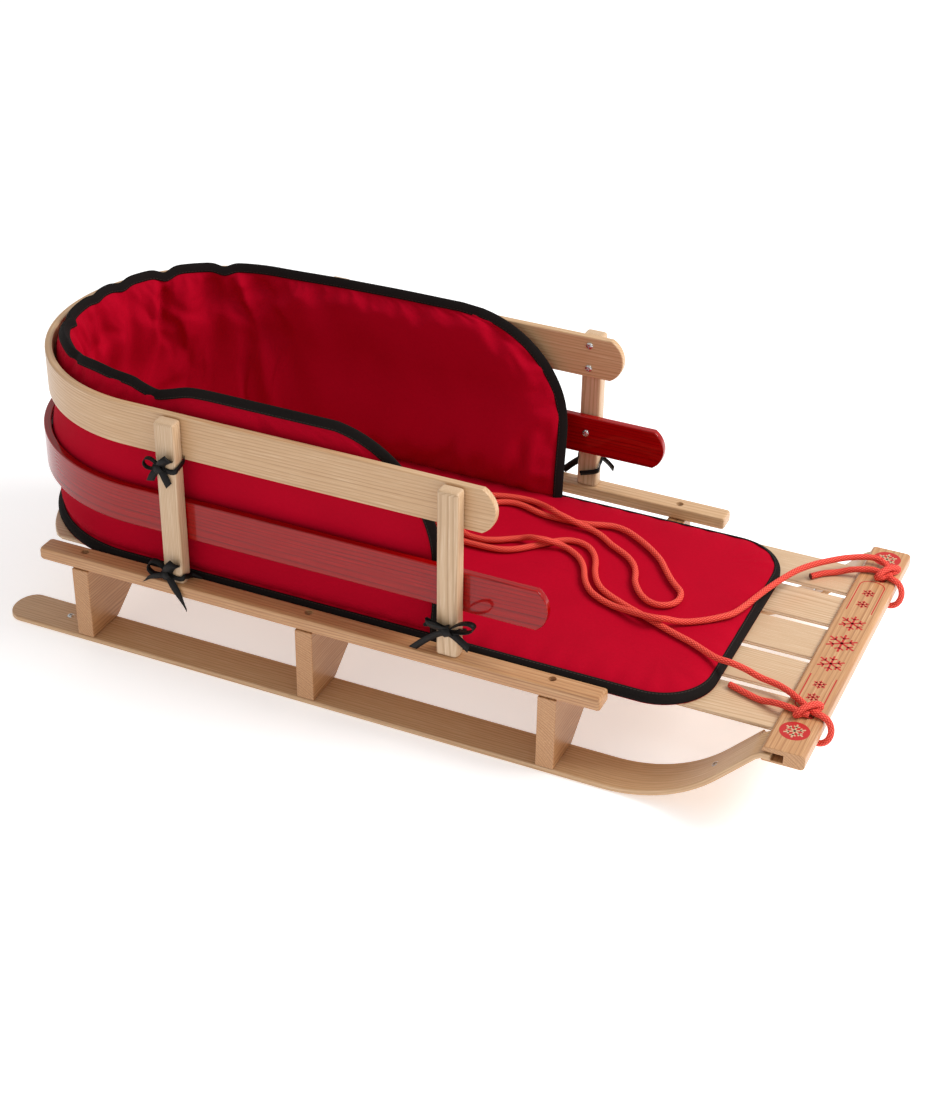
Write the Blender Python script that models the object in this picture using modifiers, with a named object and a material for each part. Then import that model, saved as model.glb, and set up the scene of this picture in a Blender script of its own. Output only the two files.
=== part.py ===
"""Wooden pull sled with a bent-rail seat, a padded cushion and a pull cord.

Metres, +Z up, +X towards the front bar. The origin is on the ground under the middle of the sled.
"""
import math

import bmesh
import bpy
from mathutils import Matrix, Vector

# ---- driving dimensions ----
# "near" is the sled's right side, at -Y, and "far" its left side. Pairs of fronts are near, then far.
GAP = 0.0003                 # clearance between pieces that rest on each other
SLED_HALF_WIDTH = 0.182      # outer faces of runners, braces and deck rails
DECK_HALF_WIDTH = 0.144      # outer edges of the outermost slats

RUNNER_THICKNESS = 0.0055
RUNNER_WIDTH = 0.044
RUNNER_REAR_X = -0.4025
RUNNER_BEND_X = 0.2445       # where the flat sole ends
RUNNER_BEND_RADIUS = 0.150   # of the sole
RUNNER_SLOPE = math.radians(46)
RUNNER_TIP_RADIUS = 0.009    # reverse bend that levels the tip in the bar
RUNNER_TIP_Z = 0.08515       # middle of the strip inside the groove
RUNNER_SCREW_REAR_X = -0.3385

BRACE_THICKNESS = 0.018
BRACE_MIDDLE_X = -0.0575
BRACE_PITCH = 0.247
BRACE_TOP_Z = 0.0827
BRACE_FOOT_WIDTH = 0.045
BRACE_ARCH_SLOPE = math.radians(36)
BRACE_ARCH_TOP_Z = 0.052

RAIL_THICKNESS = 0.014
RAIL_WIDTH = 0.0218
RAIL_X = (-0.3505, 0.2405)
RAIL_HOLE_INSET = 0.0125     # from the outer face to the line of holes

SLAT_COUNT = 5
SLAT_GAP = 0.009
SLAT_THICKNESS = 0.006
DECK_ARC_X = -0.3305         # the rear ends follow half an ellipse about this line
DECK_ARC_DEPTH = 0.070
DECK_ARC_HALF_WIDTH = 0.152

BAR_X = (0.3885, 0.4275)
BAR_Z = (0.0792, 0.0947)
BAR_HALF_LENGTH = 0.180
GROOVE_Z = (0.0818, 0.0894)
GROOVE_DEPTH = 0.0195

POST_SIZE = (0.022, 0.015)   # along X and Y
POST_REAR_X = -0.1985
POST_FRONT_X = 0.0885
POST_TOP_Z = 0.269

BENT_HALF_WIDTH = 0.1631     # outer faces of both bent rails
BENT_THICKNESS = 0.0076
BEND_CENTRE_X = -0.2505
END_ARC_RADIUS = 0.025
UPPER_RAIL = {"z": (0.226, 0.270), "depth": 0.1631, "fronts": (0.1282, 0.1244)}
LOWER_RAIL = {"z": (0.1388, 0.1804), "depth": 0.1765, "fronts": (0.1800, 0.1726)}
UPPER_SCREW_Z = (0.2359, 0.2608)
LOWER_SCREW_Z = (0.1625,)

PAD_Z = (0.0893, 0.1040)
PAD_NEAR_Y = -0.1594
PAD_FAR_Y = 0.1310
PAD_FRONT_X = 0.3225
PAD_CORNER_RADIUS = 0.055
PAD_BEND_X = -0.2655

WALL_THICKNESS = 0.016
WALL_TOP_Z = 0.2860
WALL_REAR_DROP = 0.0080      # the rim is lower round the back
WALL_TOP_HALF_WIDTH = 0.1529
WALL_FRONT_X = 0.0720
WALL_ARC_RADIUS = 0.118      # front top corner of the wall

CORD_RADIUS = 0.0030
CORD_REST_Z = PAD_Z[1] + 3 * GAP + CORD_RADIUS
CORD_POINTS = 118
KNOT_X = 0.4095
KNOT_Y = 0.1215
KNOT_SIZE = (0.026, 0.022, 0.014)
CORD_HOLE_X = 0.4135
CORD_HOLE_RADIUS = 0.0042

DRIVER_HEAD_RADIUS = 0.0036
SHANK_RADIUS = 0.0018
SHANK_HOLE_RADIUS = 0.0022
ROUND_SIDES = 10

BRACE_XS = [BRACE_MIDDLE_X + step * BRACE_PITCH for step in (-1, 0, 1)]
DECK_Z = BRACE_TOP_Z + GAP                     # underside of slats and deck rails
RAIL_TOP_Z = DECK_Z + RAIL_THICKNESS
RAIL_HOLE_Y = SLED_HALF_WIDTH - RAIL_HOLE_INSET
POST_INNER_Y = BENT_HALF_WIDTH + GAP
SIDES = {"near": -1, "far": 1}


# ---- scene and materials ----
def clear_scene():
    for item in list(bpy.data.objects):
        bpy.data.objects.remove(item, do_unlink=True)


def make_collection(name):
    collection = bpy.data.collections.new(name)
    bpy.context.scene.collection.children.link(collection)
    return collection


def make_material(name, colour, roughness, metallic=0.0):
    material = bpy.data.materials.new(name)
    material.use_nodes = True
    shader = material.node_tree.nodes["Principled BSDF"]
    shader.inputs["Base Color"].default_value = (*colour, 1.0)
    shader.inputs["Roughness"].default_value = roughness
    shader.inputs["Metallic"].default_value = metallic
    material.diffuse_color = (*colour, 1.0)
    return material


clear_scene()
PARTS = make_collection("wooden_pull_sled")
CUTTERS = make_collection("cutters")
ASH = make_material("ash", (0.62, 0.43, 0.25), 0.45)
RED_LACQUER = make_material("red_lacquer", (0.36, 0.02, 0.03), 0.18)
STEEL = make_material("bright_steel", (0.72, 0.72, 0.70), 0.25, 1.0)
RED_CLOTH = make_material("red_cloth", (0.42, 0.01, 0.03), 0.85)
BLACK_RIBBON = make_material("black_ribbon", (0.012, 0.012, 0.014), 0.6)
CORAL_CORD = make_material("coral_cord", (0.75, 0.06, 0.05), 0.7)


# ---- general shapes ----
def add_part(name, mesh, material, collection=PARTS):
    part = bpy.data.objects.new(name, mesh)
    if material:
        mesh.materials.clear()
        mesh.materials.append(material)
    collection.objects.link(part)
    return part


def as_cutter(part):
    part.hide_render = True
    part.display_type = "WIRE"
    return part


def finish_bmesh(name, bm):
    bmesh.ops.recalc_face_normals(bm, faces=bm.faces)
    mesh = bpy.data.meshes.new(name)
    bm.to_mesh(mesh)
    bm.free()
    return mesh


def block(name, low, high, material, rounding=0.0, rounded=lambda edge: True, collection=PARTS):
    """A box from corner to corner; the edges that the test accepts are rounded."""
    low, high = Vector(low), Vector(high)
    bm = bmesh.new()
    bmesh.ops.create_cube(bm, size=1.0)
    size = high - low
    bmesh.ops.scale(bm, vec=size, verts=bm.verts)
    bmesh.ops.translate(bm, vec=(low + high) / 2, verts=bm.verts)
    if rounding:
        edges = [edge for edge in bm.edges if rounded(edge)]
        bmesh.ops.bevel(bm, geom=edges, offset=rounding, segments=2, profile=0.5, affect="EDGES")
    return add_part(name, finish_bmesh(name, bm), material, collection)


def rod(name, start, end, radius, material, sides=ROUND_SIDES, collection=PARTS):
    """A cylinder between two points."""
    start, end = Vector(start), Vector(end)
    bm = bmesh.new()
    turn = (end - start).to_track_quat("Z", "Y").to_matrix().to_4x4()
    place = Matrix.Translation((start + end) / 2) @ turn
    bmesh.ops.create_cone(bm, cap_ends=True, segments=sides, radius1=radius, radius2=radius,
                          depth=(end - start).length, matrix=place)
    return add_part(name, finish_bmesh(name, bm), material, collection)


def curve_mesh(name, points, cyclic, place, **settings):
    """The closed mesh of a poly curve, with its caps welded on."""
    curve = bpy.data.curves.new(name, "CURVE")
    curve.use_fill_caps = True
    for key, value in settings.items():
        setattr(curve, key, value)
    spline = curve.splines.new("POLY")
    spline.points.add(len(points) - 1)
    for slot, point in zip(spline.points, points):
        slot.co = (*point, 0.0, 1.0) if len(point) == 2 else (*point, 1.0)
    spline.use_cyclic_u = cyclic
    holder = bpy.data.objects.new(name, curve)
    bpy.context.scene.collection.objects.link(holder)
    bpy.context.view_layer.update()
    evaluated = holder.evaluated_get(bpy.context.evaluated_depsgraph_get())
    mesh = bpy.data.meshes.new_from_object(evaluated)
    bpy.data.objects.remove(holder, do_unlink=True)
    bpy.data.curves.remove(curve)
    bm = bmesh.new()
    bm.from_mesh(mesh)
    bpy.data.meshes.remove(mesh)
    bmesh.ops.remove_doubles(bm, verts=bm.verts, dist=1e-6)
    bmesh.ops.transform(bm, matrix=place, verts=bm.verts)
    return finish_bmesh(name, bm)


def plate(name, outline, thickness, place, material, collection=PARTS):
    """A flat outline, extruded to both sides of its plane."""
    mesh = curve_mesh(name, outline, True, place, dimensions="2D", fill_mode="BOTH", extrude=thickness / 2)
    return add_part(name, mesh, material, collection)


def tube(name, points, radius, material):
    mesh = curve_mesh(name, points, False, Matrix.Identity(4), dimensions="3D", fill_mode="FULL",
                      bevel_depth=radius, bevel_resolution=2)
    part = add_part(name, mesh, material)
    part.data.shade_smooth()
    return part


def combine(part, cutter, operation):
    modifier = part.modifiers.new(cutter.name, "BOOLEAN")
    modifier.operation = operation
    modifier.object = as_cutter(cutter)


def drill(part, name, start, end, radius):
    combine(part, rod(name, start, end, radius, None, collection=CUTTERS), "DIFFERENCE")


def arc(centre, radius, start, end, steps):
    """Points on a circle, or on an ellipse when radius is a pair; angles in degrees."""
    across, along = radius if isinstance(radius, tuple) else (radius, radius)
    angles = [math.radians(start + (end - start) * step / steps) for step in range(steps + 1)]
    return [(centre[0] + across * math.cos(a), centre[1] + along * math.sin(a)) for a in angles]


# 2D outlines are drawn in local X and Y; these place them in the sled's planes.
FLAT = Matrix.Identity(4)
FROM_SIDE = Matrix.Rotation(math.radians(90), 4, "X")                                  # X, Z
FROM_FRONT = Matrix(((0, 0, 1, 0), (1, 0, 0, 0), (0, 1, 0, 0), (0, 0, 0, 1)))          # Y, Z


def raised(place, z):
    return Matrix.Translation((0, 0, z)) @ place


def shifted(place, x=0.0, y=0.0):
    return Matrix.Translation((x, y, 0)) @ place


# ---- runners ----
def runner_line():
    """Middle line of the strip in X and Z, with the angle of its slope at each point."""
    half = RUNNER_THICKNESS / 2
    middle_radius = RUNNER_BEND_RADIUS - half
    line = [(RUNNER_REAR_X, half, 0.0)]
    steps = 9
    for step in range(steps + 1):
        angle = RUNNER_SLOPE * step / steps
        line.append((RUNNER_BEND_X + middle_radius * math.sin(angle),
                     half + middle_radius * (1 - math.cos(angle)), angle))
    bend_x, bend_z, _ = line[-1]
    level_z = RUNNER_TIP_Z - RUNNER_TIP_RADIUS * (1 - math.cos(RUNNER_SLOPE))
    tip_start = bend_x + (level_z - bend_z) / math.tan(RUNNER_SLOPE)
    level_x = tip_start + RUNNER_TIP_RADIUS * math.sin(RUNNER_SLOPE)
    steps = 4
    for step in range(steps + 1):
        angle = RUNNER_SLOPE * (1 - step / steps)
        line.append((level_x - RUNNER_TIP_RADIUS * math.sin(angle),
                     RUNNER_TIP_Z - RUNNER_TIP_RADIUS * (1 - math.cos(angle)), angle))
    line.append((BAR_X[0] + 0.45 * GROOVE_DEPTH, RUNNER_TIP_Z, 0.0))
    return line


def strip_outline(line, thickness):
    sides = [[(x - side * math.sin(a) * thickness / 2, z + side * math.cos(a) * thickness / 2)
              for x, z, a in line] for side in (-1, 1)]
    return sides[0] + sides[1][::-1]


def runner_plan(side):
    """Plan outline that rounds the rear end and narrows the tip beside the slats."""
    outer, inner = SLED_HALF_WIDTH, SLED_HALF_WIDTH - RUNNER_WIDTH
    middle, round_depth = (outer + inner) / 2, 0.017
    notch_x = BAR_X[0] - 0.0105
    tip_inner, past_tip = DECK_HALF_WIDTH + 2 * GAP, BAR_X[1]
    rear = arc((RUNNER_REAR_X + round_depth, middle), (round_depth, RUNNER_WIDTH / 2), 270, 90, 10)
    outline = [(past_tip, tip_inner), (notch_x, tip_inner), (notch_x, inner)] + rear + [(past_tip, outer)]
    return [(x, side * y) for x, y in outline]


def build_runners():
    for label, side in SIDES.items():
        middle_y = side * (SLED_HALF_WIDTH - RUNNER_WIDTH / 2)
        runner = plate(f"runner_{label}", strip_outline(runner_line(), RUNNER_THICKNESS),
                       RUNNER_WIDTH, shifted(FROM_SIDE, y=middle_y), ASH)
        plan = plate(f"runner_plan_{label}", runner_plan(side), 0.3, FLAT, None, CUTTERS)
        combine(runner, plan, "INTERSECT")
        for place, (spot, normal) in runner_screw_spots(side * (SLED_HALF_WIDTH - 0.024)).items():
            drill(runner, f"runner_hole_{label}_{place}", spot - 0.02 * normal, spot + 0.02 * normal,
                  SHANK_HOLE_RADIUS)
            countersunk_screw(f"runner_screw_{label}_{place}", spot, normal, RUNNER_THICKNESS - 0.0008)


def runner_screw_spots(y):
    """Where each screw meets the strip's top face, and the face's direction there."""
    half = RUNNER_THICKNESS / 2
    angle = RUNNER_SLOPE * 0.93
    middle_radius = RUNNER_BEND_RADIUS - half
    normal = Vector((-math.sin(angle), 0, math.cos(angle)))
    on_bend = Vector((RUNNER_BEND_X + middle_radius * math.sin(angle), y,
                      half + middle_radius * (1 - math.cos(angle))))
    flat = Vector((RUNNER_SCREW_REAR_X, y, RUNNER_THICKNESS))
    return {"rear": (flat, Vector((0, 0, 1))), "front": (on_bend + half * normal, normal)}


# ---- screws ----
def turned_screw(name, spot, normal, profile):
    """A solid turned about the direction that the head faces; profile is (radius, height) pairs."""
    bm = bmesh.new()
    rings = []
    for radius, height in profile:
        ring = [bm.verts.new((radius * math.cos(2 * math.pi * k / ROUND_SIDES),
                              radius * math.sin(2 * math.pi * k / ROUND_SIDES), height))
                for k in range(ROUND_SIDES)]
        rings.append(ring)
    for lower, upper in zip(rings, rings[1:]):
        for k in range(ROUND_SIDES):
            following = (k + 1) % ROUND_SIDES
            bm.faces.new((lower[k], lower[following], upper[following], upper[k]))
    bm.faces.new(rings[0][::-1])
    bm.faces.new(rings[-1])
    turn = normal.to_track_quat("Z", "Y").to_matrix().to_4x4()
    bmesh.ops.transform(bm, matrix=Matrix.Translation(spot) @ turn, verts=bm.verts)
    return add_part(name, finish_bmesh(name, bm), STEEL)


def dome_screw(name, spot, normal, shank):
    head = [(DRIVER_HEAD_RADIUS, GAP), (DRIVER_HEAD_RADIUS * 0.92, 0.0012),
            (DRIVER_HEAD_RADIUS * 0.55, 0.0022)]
    turned_screw(name, spot, normal, [(SHANK_RADIUS, -shank), (SHANK_RADIUS, GAP)] + head)


def countersunk_screw(name, spot, normal, shank):
    head = [(DRIVER_HEAD_RADIUS, GAP), (DRIVER_HEAD_RADIUS, 0.0007), (DRIVER_HEAD_RADIUS * 0.7, 0.0012)]
    turned_screw(name, spot, normal, [(SHANK_RADIUS, -shank), (SHANK_RADIUS, GAP)] + head)


# ---- braces, deck rails and their screws ----
def brace_outline():
    foot_z = RUNNER_THICKNESS + GAP
    foot_inner = SLED_HALF_WIDTH - BRACE_FOOT_WIDTH
    reach = (BRACE_ARCH_TOP_Z - foot_z) / math.tan(BRACE_ARCH_SLOPE)
    arch_corner = foot_inner - reach
    fillet = 0.030
    tangent = fillet * math.tan(BRACE_ARCH_SLOPE / 2)
    start = arch_corner - tangent
    curve = [(start + fillet * math.sin(a), BRACE_ARCH_TOP_Z - fillet * (1 - math.cos(a)))
             for a in (BRACE_ARCH_SLOPE * step / 4 for step in range(4, -1, -1))]
    right = [(SLED_HALF_WIDTH, BRACE_TOP_Z), (SLED_HALF_WIDTH, foot_z), (foot_inner, foot_z)] + curve
    return right + [(-y, z) for y, z in reversed(right)]


def build_braces():
    for label, x in zip(("rear", "middle", "front"), BRACE_XS):
        brace = plate(f"brace_{label}", brace_outline(), BRACE_THICKNESS, shifted(FROM_FRONT, x=x), ASH)
        for side_label, side in SIDES.items():
            spot = Vector((x, side * RAIL_HOLE_Y, BRACE_TOP_Z))
            drill(brace, f"brace_hole_{label}_{side_label}", spot - Vector((0, 0, 0.014)),
                  spot + Vector((0, 0, 0.01)), SHANK_HOLE_RADIUS)


def build_deck_rails():
    sink = 0.006
    for label, side in SIDES.items():
        faces = sorted((side * SLED_HALF_WIDTH, side * (SLED_HALF_WIDTH - RAIL_WIDTH)))
        rail = block(f"deck_rail_{label}", (RAIL_X[0], faces[0], DECK_Z), (RAIL_X[1], faces[1], RAIL_TOP_Z),
                     ASH, 0.0035)
        for brace_label, x in zip(("rear", "middle", "front"), BRACE_XS):
            spot = Vector((x, side * RAIL_HOLE_Y, RAIL_TOP_Z))
            up = Vector((0, 0, 1))
            drill(rail, f"rail_hole_{label}_{brace_label}", spot - 0.03 * up, spot + 0.01 * up,
                  SHANK_HOLE_RADIUS)
            drill(rail, f"rail_sink_{label}_{brace_label}", spot - sink * up, spot + 0.01 * up,
                  DRIVER_HEAD_RADIUS + GAP)
            dome_screw(f"deck_screw_{label}_{brace_label}", spot - (sink - GAP) * up, up, 0.018)


# ---- slats ----
def slat_outline(low_y, high_y):
    """The rear end follows the deck's rounded back."""
    front_x = BAR_X[0] + 0.8 * GROOVE_DEPTH
    steps = 8
    ys = [low_y + (high_y - low_y) * step / steps for step in range(steps + 1)]
    rear = [(DECK_ARC_X - DECK_ARC_DEPTH * math.sqrt(1 - (y / DECK_ARC_HALF_WIDTH) ** 2), y) for y in ys]
    return rear + [(front_x, high_y), (front_x, low_y)]


def build_slats():
    width = (2 * DECK_HALF_WIDTH - (SLAT_COUNT - 1) * SLAT_GAP) / SLAT_COUNT
    for index in range(SLAT_COUNT):
        low_y = -DECK_HALF_WIDTH + index * (width + SLAT_GAP)
        plate(f"deck_slat_{index + 1}", slat_outline(low_y, low_y + width), SLAT_THICKNESS,
              raised(FLAT, DECK_Z + SLAT_THICKNESS / 2), ASH)


# ---- front bar ----
def bar_outline():
    """Rounded section with a groove open to the back."""
    (back, front), (bottom, top) = BAR_X, BAR_Z
    low, high = GROOVE_Z
    groove_front = back + GROOVE_DEPTH
    edge = 0.004
    lip = 0.0012
    return ([(back, high), (groove_front, high), (groove_front, low), (back, low)]
            + arc((back + lip, bottom + lip), lip, 180, 270, 2)
            + arc((front - edge, bottom + edge), edge, 270, 360, 4)
            + arc((front - edge, top - edge), edge, 0, 90, 4)
            + arc((back + edge, top - edge), edge, 90, 180, 4))


def build_front_bar():
    bar = plate("front_bar", bar_outline(), 2 * BAR_HALF_LENGTH, FROM_SIDE, ASH)
    for label, side in SIDES.items():
        spot = Vector((CORD_HOLE_X, side * KNOT_Y, 0))
        drill(bar, f"cord_hole_{label}", spot + Vector((0, 0, 0.05)), spot + Vector((0, 0, 0.12)),
              CORD_HOLE_RADIUS)


# ---- posts and bent rails ----
def build_posts():
    for end, x in (("rear", POST_REAR_X), ("front", POST_FRONT_X)):
        for label, side in SIDES.items():
            faces = sorted((side * POST_INNER_Y, side * (POST_INNER_Y + POST_SIZE[1])))
            low = (x - POST_SIZE[0] / 2, faces[0], RAIL_TOP_Z + GAP)
            high = (x + POST_SIZE[0] / 2, faces[1], POST_TOP_Z)

            def above_foot(edge):
                return max(vert.co.z for vert in edge.verts) > RAIL_TOP_Z + 0.01

            post = block(f"post_{end}_{label}", low, high, ASH, 0.0035, above_foot)
            for z in UPPER_SCREW_Z + LOWER_SCREW_Z:
                face = Vector((x, side * (POST_INNER_Y - 0.002), z))
                drill(post, f"post_hole_{end}_{label}_{z}", face, face + Vector((0, side * 0.013, 0)),
                      SHANK_HOLE_RADIUS)


def bent_outline(depth, front):
    """U-shaped strip in plan, round the back of the seat."""
    steps = 32
    half, centre = BENT_HALF_WIDTH, (BEND_CENTRE_X, 0.0)
    outer = arc(centre, (depth, half), 270, 90, steps)
    inner = arc(centre, (depth - BENT_THICKNESS, half - BENT_THICKNESS), 90, 270, steps)
    inner_y = half - BENT_THICKNESS
    return [(front, -half)] + outer + [(front, half), (front, inner_y)] + inner + [(front, -inner_y)]


def rounded_front(rear, front, z_range):
    """Side outline of a bent rail, whose front ends are arcs."""
    low, high = z_range
    half_chord = (high - low) / 2
    half_angle = math.degrees(math.asin(half_chord / END_ARC_RADIUS))
    centre = (front - END_ARC_RADIUS, (low + high) / 2)
    return [(rear, high), (rear, low)] + arc(centre, END_ARC_RADIUS, -half_angle, half_angle, 10)


def build_bent_rail(name, rail, material, screw_zs):
    low, high = rail["z"]
    near, far = rail["fronts"]
    front = (near + far) / 2
    part = plate(name, bent_outline(rail["depth"], max(near, far)), high - low,
                 raised(FLAT, (low + high) / 2), material)
    rear = BEND_CENTRE_X - rail["depth"] - 0.01
    skewed = Matrix.Identity(4)
    skewed[0][1] = (far - near) / (2 * BENT_HALF_WIDTH)
    profile = plate(f"{name}_profile", rounded_front(rear, front, (low, high)), 0.4, skewed @ FROM_SIDE, None,
                    CUTTERS)
    combine(part, profile, "INTERSECT")
    inner_y = BENT_HALF_WIDTH - BENT_THICKNESS
    for end, x in (("rear", POST_REAR_X), ("front", POST_FRONT_X)):
        for label, side in SIDES.items():
            for row, z in enumerate(screw_zs, start=1):
                face = Vector((x, side * inner_y, z))
                outward = Vector((0, side, 0))
                drill(part, f"{name}_hole_{end}_{label}_{row}", face - 0.004 * outward,
                      face + 0.012 * outward, SHANK_HOLE_RADIUS)
                dome_screw(f"{name}_screw_{end}_{label}_{row}", face, -outward, 0.017)


# ---- cushion ----
def pad_outline():
    middle = (PAD_NEAR_Y + PAD_FAR_Y) / 2
    half = (PAD_FAR_Y - PAD_NEAR_Y) / 2
    corner = PAD_CORNER_RADIUS
    front = PAD_FRONT_X - corner
    return (arc((PAD_BEND_X, middle), half, 270, 90, 20)
            + arc((front, PAD_FAR_Y - corner), corner, 90, 0, 6)
            + arc((front, PAD_NEAR_Y + corner), corner, 0, -90, 6))


def wall_front_x(z):
    """Front edge of the wall: upright, then an arc back to the rim."""
    arc_start = WALL_TOP_Z - WALL_ARC_RADIUS
    if z <= arc_start:
        return WALL_FRONT_X
    rise = min(z - arc_start, WALL_ARC_RADIUS)
    return WALL_FRONT_X - WALL_ARC_RADIUS + math.sqrt(WALL_ARC_RADIUS ** 2 - rise ** 2)


def eased(value, start, end):
    share = max(0.0, min(1.0, (value - start) / (end - start)))
    return share * share * (3 - 2 * share)


def between(foot, top, share):
    return foot + (top - foot) * share


def wall_row(height):
    """One level of the wall's outer face, from the near front round the back to the far front.

    height runs from 0 at the pad to 1 at the rim. The foot follows the pad and the top follows the rails,
    and because the pad lies nearer the near rail, the far side leans out.
    """
    foot_z = PAD_Z[1] + 0.001
    z = between(foot_z, WALL_TOP_Z, height)
    quick, slow = eased(height, 0.03, 0.16), eased(height, 0.03, 0.62)
    pad_rear = PAD_BEND_X - (PAD_FAR_Y - PAD_NEAR_Y) / 2
    near = between(PAD_NEAR_Y + 0.0015, -WALL_TOP_HALF_WIDTH, quick)
    far = between(PAD_FAR_Y - 0.0015, WALL_TOP_HALF_WIDTH, slow)
    bend_x = between(PAD_BEND_X, BEND_CENTRE_X, quick)
    rear = between(pad_rear + 0.0015, BEND_CENTRE_X - WALL_TOP_HALF_WIDTH, slow)
    middle, half = (near + far) / 2, (far - near) / 2
    front = wall_front_x(z)
    side_steps, bend_steps = 7, 18
    straight = [between(front, bend_x, step / side_steps) for step in range(side_steps)]
    row = [(x, near) for x in straight]
    row += arc((bend_x, middle), (bend_x - rear, half), 270, 90, bend_steps)
    row += [(x, far) for x in reversed(straight)]
    drop = [WALL_REAR_DROP * height * eased(bend_x + 0.06 - x, 0.0, 0.12) for x, _ in row]
    return [Vector((x, y, z - d)) for (x, y), d in zip(row, drop)]


def build_cushion():
    thickness = PAD_Z[1] - PAD_Z[0]
    plate("cushion_base", pad_outline(), thickness, raised(FLAT, PAD_Z[0] + thickness / 2), RED_CLOTH)
    heights = [0, 0.03, 0.1, 0.16, 0.3, 0.45, 0.6, 0.72, 0.82, 0.9, 0.96, 1.0]
    bm = bmesh.new()
    rows = [[bm.verts.new(point) for point in wall_row(height)] for height in heights]
    for lower, upper in zip(rows, rows[1:]):
        for k in range(len(lower) - 1):
            bm.faces.new((lower[k], lower[k + 1], upper[k + 1], upper[k]))
    mesh = bpy.data.meshes.new("cushion_wall")
    bm.normal_update()
    bm.to_mesh(mesh)
    bm.free()
    wall = add_part("cushion_wall", mesh, RED_CLOTH)
    shell = wall.modifiers.new("padding", "SOLIDIFY")
    shell.thickness = WALL_THICKNESS
    shell.offset = 1.0           # the padding lies inside the outer face


# ---- ribbon ties ----
def bow_outline(droop):
    """Half of a flat bow, mirrored: a loop and a tail on each side of the knot."""
    loop = arc((0.011, 0.003), (0.009, 0.0055), 150, -150, 8)
    tail = [(0.005, -0.004), (0.013, -droop), (0.008, -droop - 0.003), (0.0015, -0.006)]
    half = [(0.0025, 0.005)] + loop + tail
    return half + [(-x, z) for x, z in reversed(half)]


def build_bows():
    thickness = 0.003
    offset = POST_INNER_Y + POST_SIZE[1] + GAP + thickness / 2
    spots = {"rear_upper": (POST_REAR_X - 0.008, 0.2205), "rear_lower": (POST_REAR_X - 0.006, 0.1072),
             "front": (POST_FRONT_X - 0.002, 0.1270)}
    for label, side in SIDES.items():
        for place, (x, z) in spots.items():
            droop = 0.006 if place == "rear_lower" else 0.020
            frame = Matrix.Translation((x, side * offset, z)) @ FROM_SIDE
            plate(f"ribbon_tie_{place}_{label}", bow_outline(droop), thickness, frame, BLACK_RIBBON)


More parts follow.
